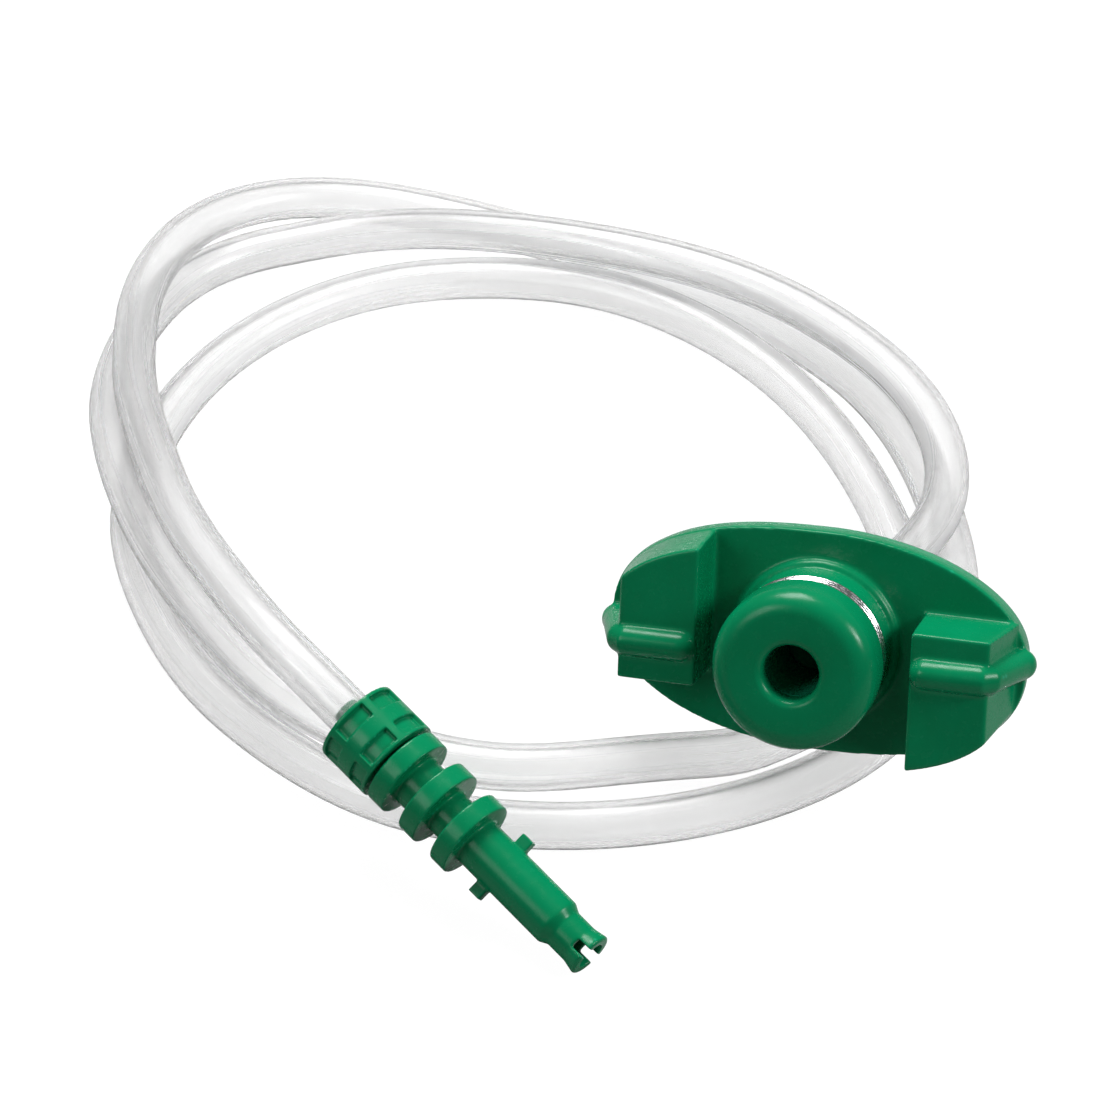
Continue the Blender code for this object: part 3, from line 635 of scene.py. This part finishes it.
# ----------------------------------------------------------------------------------------
# Head
# ----------------------------------------------------------------------------------------
@dataclass
class WingedHead(Placed):
    """Winged valve head: plate with two ears, boss, sprung nose, rear cover and hose barb."""

    half_length: float = 53.0
    half_height: float = 28.4
    plate: float = 4.0
    full_corner: float = 2.6
    slim_corner: float = 1.95
    cover_front: float = -4.3
    cover_rear: float = -8.0
    cover_inset: float = 0.5
    base_ring_radius: float = 21.2
    base_ring_height: float = 1.8
    boss_radius: float = 19.4
    boss_height: float = 9.0
    guide_radius: float = 17.75
    guide_height: float = 1.2
    bore_radius: float = 9.8
    chamber_radius: float = 15.0
    seat_depth: float = 2.5
    ear_height: float = 17.0
    ear_inner: float = 27.0
    ear_foot: float = 50.5
    ear_front: float = 46.5
    ear_side: float = 10.0
    rib_radius: float = 3.9
    rib_reach: float = 51.6
    nose_radius: float = 20.5
    nose_rear: float = 15.6
    nose_front: float = 29.6
    nose_bore: float = 7.0
    sleeve_radius: float = 9.5
    sleeve_top: float = 23.8
    spring_wire: float = 1.1
    spring_turns: float = 3.5
    spring_radius: float = 19.25
    press_travel: float = 2.2
    screw_places: tuple[tuple[float, float], ...] = ((32.0, -18.0), (43.0, 5.0))
    screw_head: float = 2.6
    screw_head_depth: float = 1.6
    screw_shank: float = 1.25
    screw_length: float = 11.0
    barb_hex: float = 8.6
    barb_hex_front: float = -9.4
    barb_hex_rear: float = -13.4
    barb_end: float = -31.4
    barb_thread: float = 5.6
    barb_radius: float = 4.0
    barb_bore: float = 2.6
    clamp_inner: float = 6.3
    clamp_front: float = -18.4
    clamp_width: float = 6.0

    def outline(self, inset: float = 0.0, steps: int = 32) -> Outline:
        """Lens outline of the wings.

        Args:
            inset: How far inside the rim.
            steps: Points on each quarter.

        Returns:
            The closed outline.
        """
        points: Outline = []
        for quarter in range(4):
            power = self.slim_corner if quarter % 2 == 0 else self.full_corner
            for i in range(steps):
                a = math.pi / 2 * (quarter + i / steps)
                x = math.copysign(abs(math.cos(a)) ** (2 / power), math.cos(a))
                y = math.copysign(abs(math.sin(a)) ** (2 / power), math.sin(a))
                points.append((x * (self.half_length - inset), y * (self.half_height - inset)))
        return points

    def ear(self, side: int) -> BMesh:
        """Block of one wing.

        Args:
            side: 1 for the right wing, -1 for the left.

        Returns:
            The block; its long side follows the plate's rim and its outer end is drafted.
        """
        layers = []
        for z, inset, outer, near in ((-1.0, 0.2, self.ear_foot, self.ear_side + 0.5),
                                      (self.ear_height, 0.9, self.ear_front, self.ear_side)):
            ring = [(self.ear_inner, near)]
            for i in range(17):
                x = self.ear_inner + (outer - self.ear_inner) * math.sin(math.pi / 2 * i / 16)
                share = x / (self.half_length - inset)
                y = (1 - share**self.full_corner) ** (1 / self.full_corner)
                ring.append((x, -y * (self.half_height - inset)))
            ring.append((outer, near - 0.3))
            layers.append(([(side * x, side * y) for x, y in ring], z))
        return Shapes.prism(layers)

    def rib(self, side: int) -> BMesh:
        """Half-round rib over one ear and down its outer end; side is 1 or -1."""
        bend, top = 2.0, self.ear_height - 0.4
        path = [(self.ear_inner + self.rib_radius, 0, top), (self.ear_front - bend, 0, top),
                (self.ear_front - 0.2, 0, self.ear_height - bend),
                (self.rib_reach - 0.6, 0, 1.0), (self.rib_reach, 0, self.rib_radius - self.plate)]
        return Shapes.swept([(side * x, y, z) for x, y, z in path], self.rib_radius, 40, caps=8)

    def build_wings(self) -> None:
        """Front shell with boss, ears and ribs."""
        base = Shapes.prism([(self.outline(), -self.plate), (self.outline(), 0.0)])
        rise = 0.8
        ring, boss = self.base_ring_radius, self.boss_radius
        guide = self.boss_height + self.guide_height
        steps = [(0, -1), (ring, -1), (ring, self.base_ring_height - rise),
                 (ring - rise, self.base_ring_height), (boss, self.base_ring_height),
                 (boss, self.boss_height), (self.guide_radius, self.boss_height),
                 (self.guide_radius, guide), (0, guide)]
        adds = [Shapes.turned(steps)]
        for side in (1, -1):
            adds += [self.ear(side), self.rib(side)]
        low = -self.plate - 1
        bore = [(0, low), (self.chamber_radius, low), (self.chamber_radius, self.seat_depth),
                (self.bore_radius, self.seat_depth), (self.bore_radius, self.boss_height + 3),
                (0, self.boss_height + 3)]
        cuts = [Shapes.turned(bore)]
        body = self.carved("wing_shell", base, adds, cuts, voxel=0.42, passes=9)
        self.settle(body, Slot.GREEN, Body.ROOT, "wing_body")

    def build_cover(self) -> None:
        """Rear cover with a rounded rim, screw places and the barb's hole."""
        low, high = self.cover_rear, self.cover_front
        rim = 1.0
        layers = [(self.outline(self.cover_inset + rim), low)]
        layers += [(self.outline(self.cover_inset + rim * (1 - math.sin(a))),
                    low + rim * (1 - math.cos(a)))
                   for a in (math.pi / 8, math.pi / 4, 3 * math.pi / 8, math.pi / 2)]
        layers.append((self.outline(self.cover_inset), high))
        cuts = [Shapes.rod(self.barb_thread + GAP, low - 1, high + 1)]
        mouth, shank = self.screw_head + GAP, self.screw_shank + GAP
        seat = low + self.screw_head_depth + GAP
        for x, y in self.screws():
            place = Shapes.turned([(0, low - 1), (mouth + 0.2, low - 1), (mouth, low + 0.3),
                                   (mouth, seat), (shank, seat), (shank, high + 1),
                                   (0, high + 1)], 40)
            cuts.append(Shapes.moved(place, Matrix.Translation((x, y, 0))))
        cover = self.carved("back_cover", Shapes.prism(layers), (), cuts)
        self.settle(cover, Slot.GREEN, Body.ROOT, "rear_cover")

    def screws(self) -> list[tuple[float, float]]:
        """Places of the four cover screws."""
        return [(s * x, s * y) for s in (1, -1) for x, y in self.screw_places]

    def build_screws(self) -> None:
        """Pan-head screws with a cross recess."""
        rear, head, shank = self.cover_rear, self.screw_head, self.screw_shank
        under, tip = rear + self.screw_head_depth, rear + self.screw_length
        for k, (x, y) in enumerate(self.screws()):
            outline = Shapes.soften([(0, rear), (head, rear), (head, under), (shank, under),
                                     (shank, tip - 1.5), (0, tip)], 0.5)
            cuts = [Shapes.box((-0.3, -1.5, rear - 1), (0.3, 1.5, rear + 0.9)),
                    Shapes.box((-1.5, -0.3, rear - 1), (1.5, 0.3, rear + 0.9))]
            screw = self.carved(f"back_screw_{k + 1}", Shapes.turned(outline, 32), (), cuts)
            move = self.place.to_3x3() @ Vector((x, y, 0))
            screw.data.transform(Matrix.Translation(move))
            self.settle(screw, Slot.STEEL, Body.ROOT, f"cover_screw_{k + 1}")

    def build_nose(self) -> None:
        """Fat round nose with a broad flat face and a rounded mouth."""
        rear, front, wide = self.nose_rear, self.nose_front, self.nose_radius
        pocket, pocket_end = self.sleeve_radius + GAP, self.sleeve_top + GAP
        shoulder = 5.5
        outline = [(pocket, rear)]
        outline += Shapes.soften([(wide - 3, rear), (wide, rear), (wide, rear + 3)], 1.3)[5:10]
        for k in range(13):
            a = math.pi / 2 * k / 12
            outline.append((wide - shoulder + shoulder * math.cos(a),
                            front - shoulder + shoulder * math.sin(a)))
        lip = 2.0
        for k in range(9):
            a = math.pi / 2 * k / 8
            outline.append((self.nose_bore + lip - lip * math.sin(a), front - lip + lip * math.cos(a)))
        outline += [(self.nose_bore, pocket_end), (pocket, pocket_end)]
        nose = self.mesh("nose_ring", Shapes.turned(outline, 128), sharp=40)
        self.settle(nose, Slot.GREEN, Body.NOSE, "nose_bumper")

    def build_spring(self) -> None:
        """Coil of round wire between boss and nose."""
        reach = self.spring_wire / 2 + GAP
        low, high = self.boss_height + reach, self.nose_rear - reach
        path = []
        steps = int(self.spring_turns * 64)
        for i in range(steps + 1):
            share = i / steps
            a = 2 * math.pi * self.spring_turns * share
            path.append((self.spring_radius * math.cos(a), self.spring_radius * math.sin(a),
                         low + (high - low) * share))
        coil = self.mesh("nose_spring", Shapes.swept(path, self.spring_wire / 2, 14), sharp=60)
        self.settle(coil, Slot.STEEL, Body.ROOT, "return_spring")
        tuple(self.point(0, 0, self.boss_height + GAP))
        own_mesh(coil)

    def build_barb(self) -> None:
        """Barb with saw-tooth ribs, hexagon and thread end."""
        teeth, rear, end = 4, self.barb_hex_rear, self.barb_end
        pitch = (rear - end) / teeth
        outline = [(self.barb_bore, end), (self.barb_radius - 0.9, end)]
        for k in range(teeth):
            foot = end + pitch * k
            outline += [(self.barb_radius, foot + pitch * 0.8),
                        (self.barb_radius - 0.5, foot + pitch * 0.82)]
        outline += [(self.barb_radius - 0.5, rear + 1), (self.barb_thread, rear + 1),
                    (self.barb_thread, self.cover_front - GAP),
                    (self.barb_bore, self.cover_front - GAP)]
        flats = [(self.barb_hex * math.cos(math.pi * k / 3), self.barb_hex * math.sin(math.pi * k / 3))
                 for k in range(6)]
        inner = [(x * 0.95, y * 0.95) for x, y in flats]
        hexagon = Shapes.prism([(inner, rear), (flats, rear + 0.6), (flats, self.barb_hex_front - 0.6),
                                (inner, self.barb_hex_front)])
        bore = Shapes.rod(self.barb_bore, end - 1, 1)
        barb = self.carved("barb_fitting", Shapes.turned(outline, 64), [hexagon], [bore])
        self.settle(barb, Slot.GREEN, Body.ROOT, "hose_barb")

    def build_clamp(self) -> None:
        """Worm-drive band round the hose over the barb."""
        inner, front, width = self.clamp_inner, self.clamp_front, self.clamp_width
        outer = inner + 0.7
        band = Shapes.turned(Shapes.soften([(inner, front - width), (outer, front - width),
                                            (outer, front), (inner, front)], 0.2), 96)
        middle = front - width / 2
        slots = []
        for k in range(14):
            a = math.radians(205 + 10 * k)
            slot = Shapes.box((outer - 0.35, -0.28, middle - 1.7), (outer + 1, 0.28, middle + 1.7))
            slots.append(Shapes.moved(slot, Matrix.Rotation(a, 4, "Z")))
        ring = self.carved("clamp_band", band, (), slots)
        self.settle(ring, Slot.STEEL, Body.ROOT, "hose_clamp")
        wide, base, top = 3.2, inner + 0.45, inner + 4.3
        corner = 0.9
        across = [(-wide, base), (wide, base), (wide, top - corner), (wide - corner, top),
                  (corner - wide, top), (-wide, top - corner)]
        low, high = middle - width / 2 - 0.5, middle + width / 2 + 0.5
        inset = [(x * 0.94, base + (y - base) * 0.94) for x, y in across]
        housing = Shapes.prism([(inset, low), (across, low + 0.3), (across, high - 0.3),
                                (inset, high)])
        house = self.mesh("clamp_housing", housing, sharp=25)
        self.settle(house, Slot.STEEL, Body.ROOT)
        thick = 1.55
        worm = Shapes.turned(Shapes.soften([(0, 0), (thick, 0), (thick, 1.6), (0, 1.6)], 0.3), 40)
        notch = Shapes.box((-2, -0.25, 1.1), (2, 0.25, 3))
        lie = Matrix.Translation((wide - 0.1, (base + top) / 2 + 0.1, middle)) @ Matrix.Rotation(
            math.pi / 2, 4, "Y")
        screw = self.carved("clamp_screw", Shapes.moved(worm, lie), (), [Shapes.moved(notch, lie)])
        self.settle(screw, Slot.STEEL, Body.ROOT)

    def build(self) -> None:
        """Build every piece of the head."""
        self.build_wings()
        self.build_cover()
        self.build_screws()
        self.build_nose()
        self.build_spring()
        self.build_barb()
        self.build_clamp()


# ----------------------------------------------------------------------------------------
# Nozzle
# ----------------------------------------------------------------------------------------
@dataclass
class Nozzle(Placed):
    """Stepped nozzle with three flanges, two bayonet lugs, a slotted tip and a coupling nut."""

    nut_radius: float = 11.4
    nut_length: float = 15.0
    panels: int = 6
    rim: float = 1.0
    band: float = 4.6
    rib_angle: float = 12.0
    panel_depth: float = 1.2
    socket_radius: float = 8.0
    socket_start: float = 7.0
    socket_bore: float = 6.3
    collet_length: float = 4.6
    collet_wall: float = 0.7
    flanges: tuple[tuple[float, float, float], ...] = (
        (16.0, 21.3, 11.0), (27.0, 32.3, 10.8), (38.1, 43.2, 10.7))
    necks: tuple[float, ...] = (8.0, 6.9, 6.1, 6.45)
    barrel_end: float = 72.1
    tip_start: float = 74.3
    tip_radius: float = 5.3
    tip_flare: float = 6.0
    length: float = 84.0
    spigot_radius: float = 3.9
    spigot_tail: float = 4.0
    bore: float = 2.6
    tip_bore: float = 3.6
    tip_bore_depth: float = 16.0
    slot_width: float = 2.5
    slot_depth: float = 4.0
    lug_at: float = 52.7
    lug_length: float = 3.6
    lug_width: float = 3.4
    lug_radius: float = 9.6

    def build_body(self) -> None:
        """Spigot, socket, flanges, barrel, lugs and tip in one moulding."""
        floor = self.flanges[0][0] - 1.0
        spigot, tail = self.spigot_radius, -self.spigot_tail
        outline = [(self.bore, tail), (spigot - 0.6, tail), (spigot, tail + 2.2),
                   (spigot - 0.3, tail + 2.4), (spigot - 0.3, floor), (self.socket_bore, floor),
                   (self.socket_bore, self.socket_start), (self.socket_radius, self.socket_start)]
        for (start, end, radius), neck, following in zip(self.flanges, self.necks, self.necks[1:]):
            outline += [(neck, start), (radius, start), (radius, end), (following, end)]
        outline += [(self.necks[-1], self.barrel_end), (self.tip_radius, self.tip_start),
                    (self.tip_radius, self.length - self.slot_depth),
                    (self.tip_flare, self.length - 0.5), (self.tip_flare - 0.5, self.length),
                    (self.tip_bore, self.length), (self.tip_bore, self.length - self.tip_bore_depth),
                    (self.bore, self.length - self.tip_bore_depth - 1)]
        adds = []
        half, near = self.lug_width / 2, self.necks[-1] - 1.2
        for side in (1, -1):
            ends = sorted((side * near, side * self.lug_radius))
            adds.append(Shapes.box((ends[0], -half, self.lug_at - self.lug_length / 2),
                                   (ends[1], half, self.lug_at + self.lug_length / 2)))
        wide = self.slot_width / 2
        slot = Shapes.box((-wide, -9, self.length - self.slot_depth), (wide, 9, self.length + 1))
        body = self.carved("nozzle_stem", Shapes.turned(outline), adds, [slot], voxel=0.28,
                           passes=6)
        self.settle(body, Slot.GREEN, Body.ROOT, "nozzle_body")

    def panel(self, low: float, high: float, index: int) -> BMesh:
        """One recess of the nut.

        Args:
            low: Rear end of the recess.
            high: Front end of the recess.
            index: Which recess round the nut.

        Returns:
            The solid that cuts it.
        """
        inner, outer = self.nut_radius - self.panel_depth, self.nut_radius + 2
        span = 360 / self.panels
        first = index * span + self.rib_angle / 2
        angles = [math.radians(first + (span - self.rib_angle) * i / 10) for i in range(11)]
        points = [(outer * math.cos(a), outer * math.sin(a)) for a in angles]
        points += [(inner * math.cos(a), inner * math.sin(a)) for a in reversed(angles)]
        return Shapes.prism([(points, low), (points, high)])

    def build_nut(self) -> None:
        """Ribbed coupling nut with two rows of recessed panels."""
        cone = self.socket_start - GAP
        throat = cone - self.collet_length - 2 * GAP
        wide = self.socket_radius + GAP
        outline = [(self.socket_bore, 0), (self.nut_radius, 0), (self.nut_radius, self.nut_length),
                   (wide, self.nut_length), (wide, cone),
                   (self.socket_bore + self.collet_wall + GAP, throat), (self.socket_bore, throat)]
        row = (self.nut_length - self.band) / 2
        rows = ((self.rim, row), (self.nut_length - row, self.nut_length - self.rim))
        cuts = [self.panel(low, high, k) for low, high in rows for k in range(self.panels)]
        nut = self.carved("ribbed_nut", Shapes.turned(outline), (), cuts, voxel=0.24, passes=5)
        self.settle(nut, Slot.GREEN, Body.NUT, "coupling_nut")

    def build(self) -> None:
        """Build every piece of the nozzle."""
        self.build_body()
        self.build_nut()


# ----------------------------------------------------------------------------------------
# Hose
# ----------------------------------------------------------------------------------------
FLOOR, SECOND = 6.0, 18.3
ROUTE = (
    (-57.5, -107.5, 41), (-73, -81, 40), (-87, -50, 37), (-97, -16.5, 33), (-104, 15, 28.5),
    (-107, 47.5, 23), (-106, 78, 19), (-97, 103, 18.3), (-79.5, 121.5, 16), (-55, 131, 12),
    (-28, 129, 9), (0, 119.5, 7.5), (28, 107, 6.5), (54, 91.5, FLOOR), (77, 71, FLOOR),
    (97.5, 44.5, FLOOR), (109.5, 14.5, FLOOR), (115.5, -17, FLOOR), (116, -47, FLOOR),
    (107.5, -78, FLOOR), (88.5, -106, FLOOR), (62, -124, FLOOR), (32, -133, FLOOR),
    (0, -134, FLOOR), (-31, -126, FLOOR), (-59, -106, FLOOR), (-81, -80, FLOOR),
    (-96, -49, FLOOR), (-104, -17, FLOOR), (-102, 16, FLOOR), (-91, 48, FLOOR),
    (-70, 76, FLOOR), (-41, 94, FLOOR), (-9, 99, FLOOR), (23, 93.5, FLOOR), (51, 76, FLOOR),
    (73, 51, FLOOR), (89, 20, FLOOR), (99, -12, FLOOR), (103, -44, FLOOR), (95.5, -73, FLOOR),
    (78.5, -93, FLOOR), (57.5, -106.5, 6.5), (42, -114.5, 11.5), (23, -122.5, 16.5),
    (0, -126.5, SECOND), (-29, -119, SECOND), (-56, -101, SECOND), (-76, -75, SECOND),
    (-92, -47, SECOND), (-104.5, -15, SECOND), (-111.5, 16, 16), (-113, 47, 9.5),
    (-107, 79, FLOOR), (-92, 102.5, FLOOR), (-68.5, 115.5, FLOOR), (-41, 118, 9.5),
    (-13, 111, 14.5), (15, 101.5, 17.5), (44, 90.5, SECOND), (70, 75.5, SECOND),
    (92, 54, SECOND), (108, 29, SECOND), (115.5, 0, SECOND), (112, -26, SECOND),
    (101.5, -45, SECOND), (95.5, -53.5, 19),
)


@dataclass
class ClearHose:
    """Clear tube from the nozzle's socket, three times round, to the head's barb."""

    head: WingedHead
    nozzle: Nozzle
    materials: Materials
    shift: tuple[float, float, float] = (-40.61, 130.66, 0.0)
    radius: float = 6.0
    bore: float = 4.2
    rings: int = 460
    sides: int = 36
    into_nut: float = 11.0
    onto_barb: float = 16.5
    leads: tuple[float, ...] = (3.0, 6.0, 12.0)

    def waypoints(self) -> np.ndarray:
        """Points that the centre line goes through, in millimetres in the row frame."""
        tail, end = -self.nozzle.spigot_tail, self.head.barb_end
        out = [self.into_nut, tail, *(tail - lead for lead in self.leads)]
        back = [*(end - lead for lead in reversed(self.leads)), end, end + self.onto_barb]
        points = [self.nozzle.point(0, 0, z) / MM for z in out]
        points += [Vector(p) + Vector(self.shift) for p in ROUTE]
        points += [self.head.point(0, 0, z) / MM for z in back]
        return np.array([tuple(p) for p in points])

    def centre_line(self) -> np.ndarray:
        """Read evenly spaced points from the natural cubic spline through the waypoints.

        Returns:
            The points, in millimetres.
        """
        given = self.waypoints()
        along = np.r_[0, np.cumsum(np.linalg.norm(np.diff(given, axis=0), axis=1))]
        gaps = np.diff(along)
        size = len(given)
        matrix, right = np.eye(size), np.zeros((size, 3))
        for i in range(1, size - 1):
            matrix[i, i - 1:i + 2] = gaps[i - 1], 2 * (gaps[i - 1] + gaps[i]), gaps[i]
            right[i] = 6 * ((given[i + 1] - given[i]) / gaps[i]
                            - (given[i] - given[i - 1]) / gaps[i - 1])
        bend = np.linalg.solve(matrix, right)
        distances = np.linspace(0, along[-1], 6000)
        i = np.clip(np.searchsorted(along, distances, side="right") - 1, 0, size - 2)
        u, gap = (distances - along[i])[:, None], gaps[i][:, None]
        slope = (given[i + 1] - given[i]) / gap - gap * (2 * bend[i] + bend[i + 1]) / 6
        fine = given[i] + slope * u + bend[i] / 2 * u**2 + (bend[i + 1] - bend[i]) / (6 * gap) * u**3
        length = np.r_[0, np.cumsum(np.linalg.norm(np.diff(fine, axis=0), axis=1))]
        even = np.linspace(0, length[-1], self.rings)
        line = np.stack([np.interp(even, length, fine[:, k]) for k in range(3)], axis=1)
        line[:, 2] = np.maximum(line[:, 2], self.radius + 0.05)
        return line

    def tube(self, line: np.ndarray) -> Object:
        """Make the tube's outer and inner walls with square ends.

        Args:
            line: Centre line in millimetres.

        Returns:
            The object.
        """
        tangents = np.gradient(line, axis=0)
        tangents /= np.linalg.norm(tangents, axis=1)[:, None]
        across = Vector(tangents[0]).orthogonal().normalized()
        turns = np.linspace(0, 2 * math.pi, self.sides, endpoint=False)
        walls: dict[float, list[Ring]] = {self.radius: [], self.bore: []}
        bm = bmesh.new()
        for centre, tangent in zip(line, tangents):
            along = Vector(tangent)
            across = (across - along * across.dot(along)).normalized()
            up = along.cross(across)
            for size, rings in walls.items():
                rings.append([bm.verts.new((Vector(centre) + (across * math.cos(a)
                                            + up * math.sin(a)) * size) * MM) for a in turns])
        grain = bm.loops.layers.uv.new(GRAIN_MAP)
        for flip, rings in enumerate(walls.values()):
            for k, (ring, following) in enumerate(zip(rings, rings[1:])):
                for i in range(self.sides):
                    j = (i + 1) % self.sides
                    corners = [(ring[i], k, i), (ring[j], k, i + 1), (following[j], k + 1, i + 1),
                               (following[i], k + 1, i)]
                    if flip:
                        corners.reverse()
                    face = bm.faces.new([c[0] for c in corners])
                    for loop, (_, step, turn) in zip(face.loops, corners):
                        loop[grain].uv = (step / self.rings, turn / self.sides)
        outer, inner = walls.values()
        for k in (0, -1):
            for i in range(self.sides):
                j = (i + 1) % self.sides
                bm.faces.new((outer[k][i], outer[k][j], inner[k][j], inner[k][i]))
        bmesh.ops.recalc_face_normals(bm, faces=bm.faces)
        return solid("clear_tube", bm, sharp=50.0)

    def build(self) -> None:
        line = self.centre_line()
        piece = self.tube(line)
        piece.data.materials.append(self.materials[Slot.CLEAR])
        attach(piece, Body.ROOT.value)
        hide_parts("hose")
        tuple(self.nozzle.point(0, 0, 0))


# ----------------------------------------------------------------------------------------
# Studio
# ----------------------------------------------------------------------------------------
FLOOR_FINISH = PaleFloor("pale_floor", (0.30, 0.30, 0.30), (0.7, 0.7), (0.2955, 0.2955, 0.2955),
                         glow=0.8, strength=1.22)


@dataclass(frozen=True)
class Lamp:
    """A soft square light.

    Attributes:
        name: Its name.
        at: Its place from the camera's target, in metres.
        size: Length of its side, in metres.
        power: Its power, in watts.
    """

    name: str
    at: tuple[float, float, float]
    size: float
    power: float


LAMPS = (
    Lamp("top_light", (-0.15, 0.55, 1.3), 0.7, 34.0),
    Lamp("right_light", (1.1, -0.35, 0.8), 0.35, 13.0),
    Lamp("left_light", (-1.0, -0.7, 0.9), 0.6, 6.5),
)


@dataclass
class Studio:
    """Camera, floor and lights.

    Attributes:
        target: Point that the camera looks at, in metres.
        elevation: Height of the camera above the ground, in degrees.
        distance: Distance of the camera, in metres.
        lens: Focal length, in millimetres.
        floor_size: Length of the floor's side, in metres.
        floor_drop: How far the floor lies under the object, in metres.
        room_light: Strength of the even light.
    """

    target: tuple[float, float, float] = (-0.03201, 0.11226, 0.0)
    elevation: float = 39.2
    distance: float = 1.2
    lens: float = 145.3
    floor_size: float = 6.0
    floor_drop: float = 0.0002
    room_light: float = 0.13

    def camera(self) -> None:
        """Add the camera, looking along +Y and down."""
        tilt = math.radians(self.elevation)
        data = bpy.data.cameras.new("camera")
        data.lens = self.lens
        data.sensor_width = 36.0
        data.clip_end = 50.0
        camera = shown("camera", data)
        back = Vector((0, -math.cos(tilt), math.sin(tilt))) * self.distance
        camera.location = Vector(self.target) + back
        camera.rotation_euler = (math.pi / 2 - tilt, 0, 0)
        bpy.context.scene.camera = camera

    def floor(self) -> None:
        """Add the floor."""
        half = self.floor_size / 2
        bm = bmesh.new()
        corners = [(-half, -half), (half, -half), (half, half), (-half, half)]
        bm.faces.new([bm.verts.new((x, y, -self.floor_drop)) for x, y in corners])
        floor = solid("floor", bm, sharp=35.0)
        floor.data.materials.append(FLOOR_FINISH.make())

    def light(self, lamp: Lamp) -> None:
        """Add a square lamp that points at the target."""
        data = bpy.data.lights.new(lamp.name, "AREA")
        data.size = lamp.size
        data.energy = lamp.power
        thing = shown(lamp.name, data)
        thing.location = Vector(self.target) + Vector(lamp.at)
        thing.rotation_euler = Vector(lamp.at).to_track_quat("Z", "Y").to_euler()

    def world(self) -> None:
        """Add the even light of a white room."""
        world = bpy.data.worlds.new("room")
        world.use_nodes = True
        back = world.node_tree.nodes["Background"]
        back.inputs["Color"].default_value = (1.0, 1.0, 1.0, 1.0)
        back.inputs["Strength"].default_value = self.room_light
        bpy.context.scene.world = world
        bpy.context.scene.view_settings.view_transform = "Standard"

    def build(self) -> None:
        """Build the studio."""
        self.floor()
        for lamp in LAMPS:
            self.light(lamp)
        self.world()


HIDDEN_NODES: dict[Slot, tuple[str, ...]] = {
    Slot.GREEN: ("plunger_sleeve", "valve_disc", "collet"),
    Slot.RUBBER: ("cover_gasket", "sleeve_o_ring", "valve_seal", "barb_washer", "hose_gasket"),
}


def placed(at: Sequence[float], *turns: tuple[float, str]) -> Matrix:
    """Matrix of a sub-assembly.

    Args:
        at: Its origin in the row frame, in millimetres.
        *turns: Turns in degrees about an axis, the outermost first.

    Returns:
        Matrix from the sub-assembly's millimetres to metres in the row frame.
    """
    matrix = Matrix.Translation(Vector(at) * MM)
    for angle, axis in turns:
        matrix = matrix @ Matrix.Rotation(math.radians(angle), 4, axis)
    return matrix @ Matrix.Scale(MM, 4)


def main() -> None:
    """Build the scene in order."""
    logging.basicConfig(level=logging.INFO, format="%(name)s: %(message)s")
    studio = Studio()
    studio.camera()
    materials = {slot: finish.make() for slot, finish in FINISHES.items()}
    head = WingedHead(placed((34.39, 24.76, 42.0), (-17.7, "Z"), (67.2, "X"), (5.2, "Z")), materials)
    nozzle = Nozzle(placed((-79.81, 4.76, 33.395), (-43.3, "Z"), (109.4, "Y"), (-54.0, "Z")),
                    materials)
    ClearHose(head, nozzle, materials).build()
    head.build()
    nozzle.build()
    for slot, names in HIDDEN_NODES.items():
        for name in names:
            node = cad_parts[name]
            node.data.materials.clear()
            node.data.materials.append(materials[slot])
            LOG.info("%s keeps its CAD mesh", name)
    studio.build()


if __name__ == "__main__":
    main()
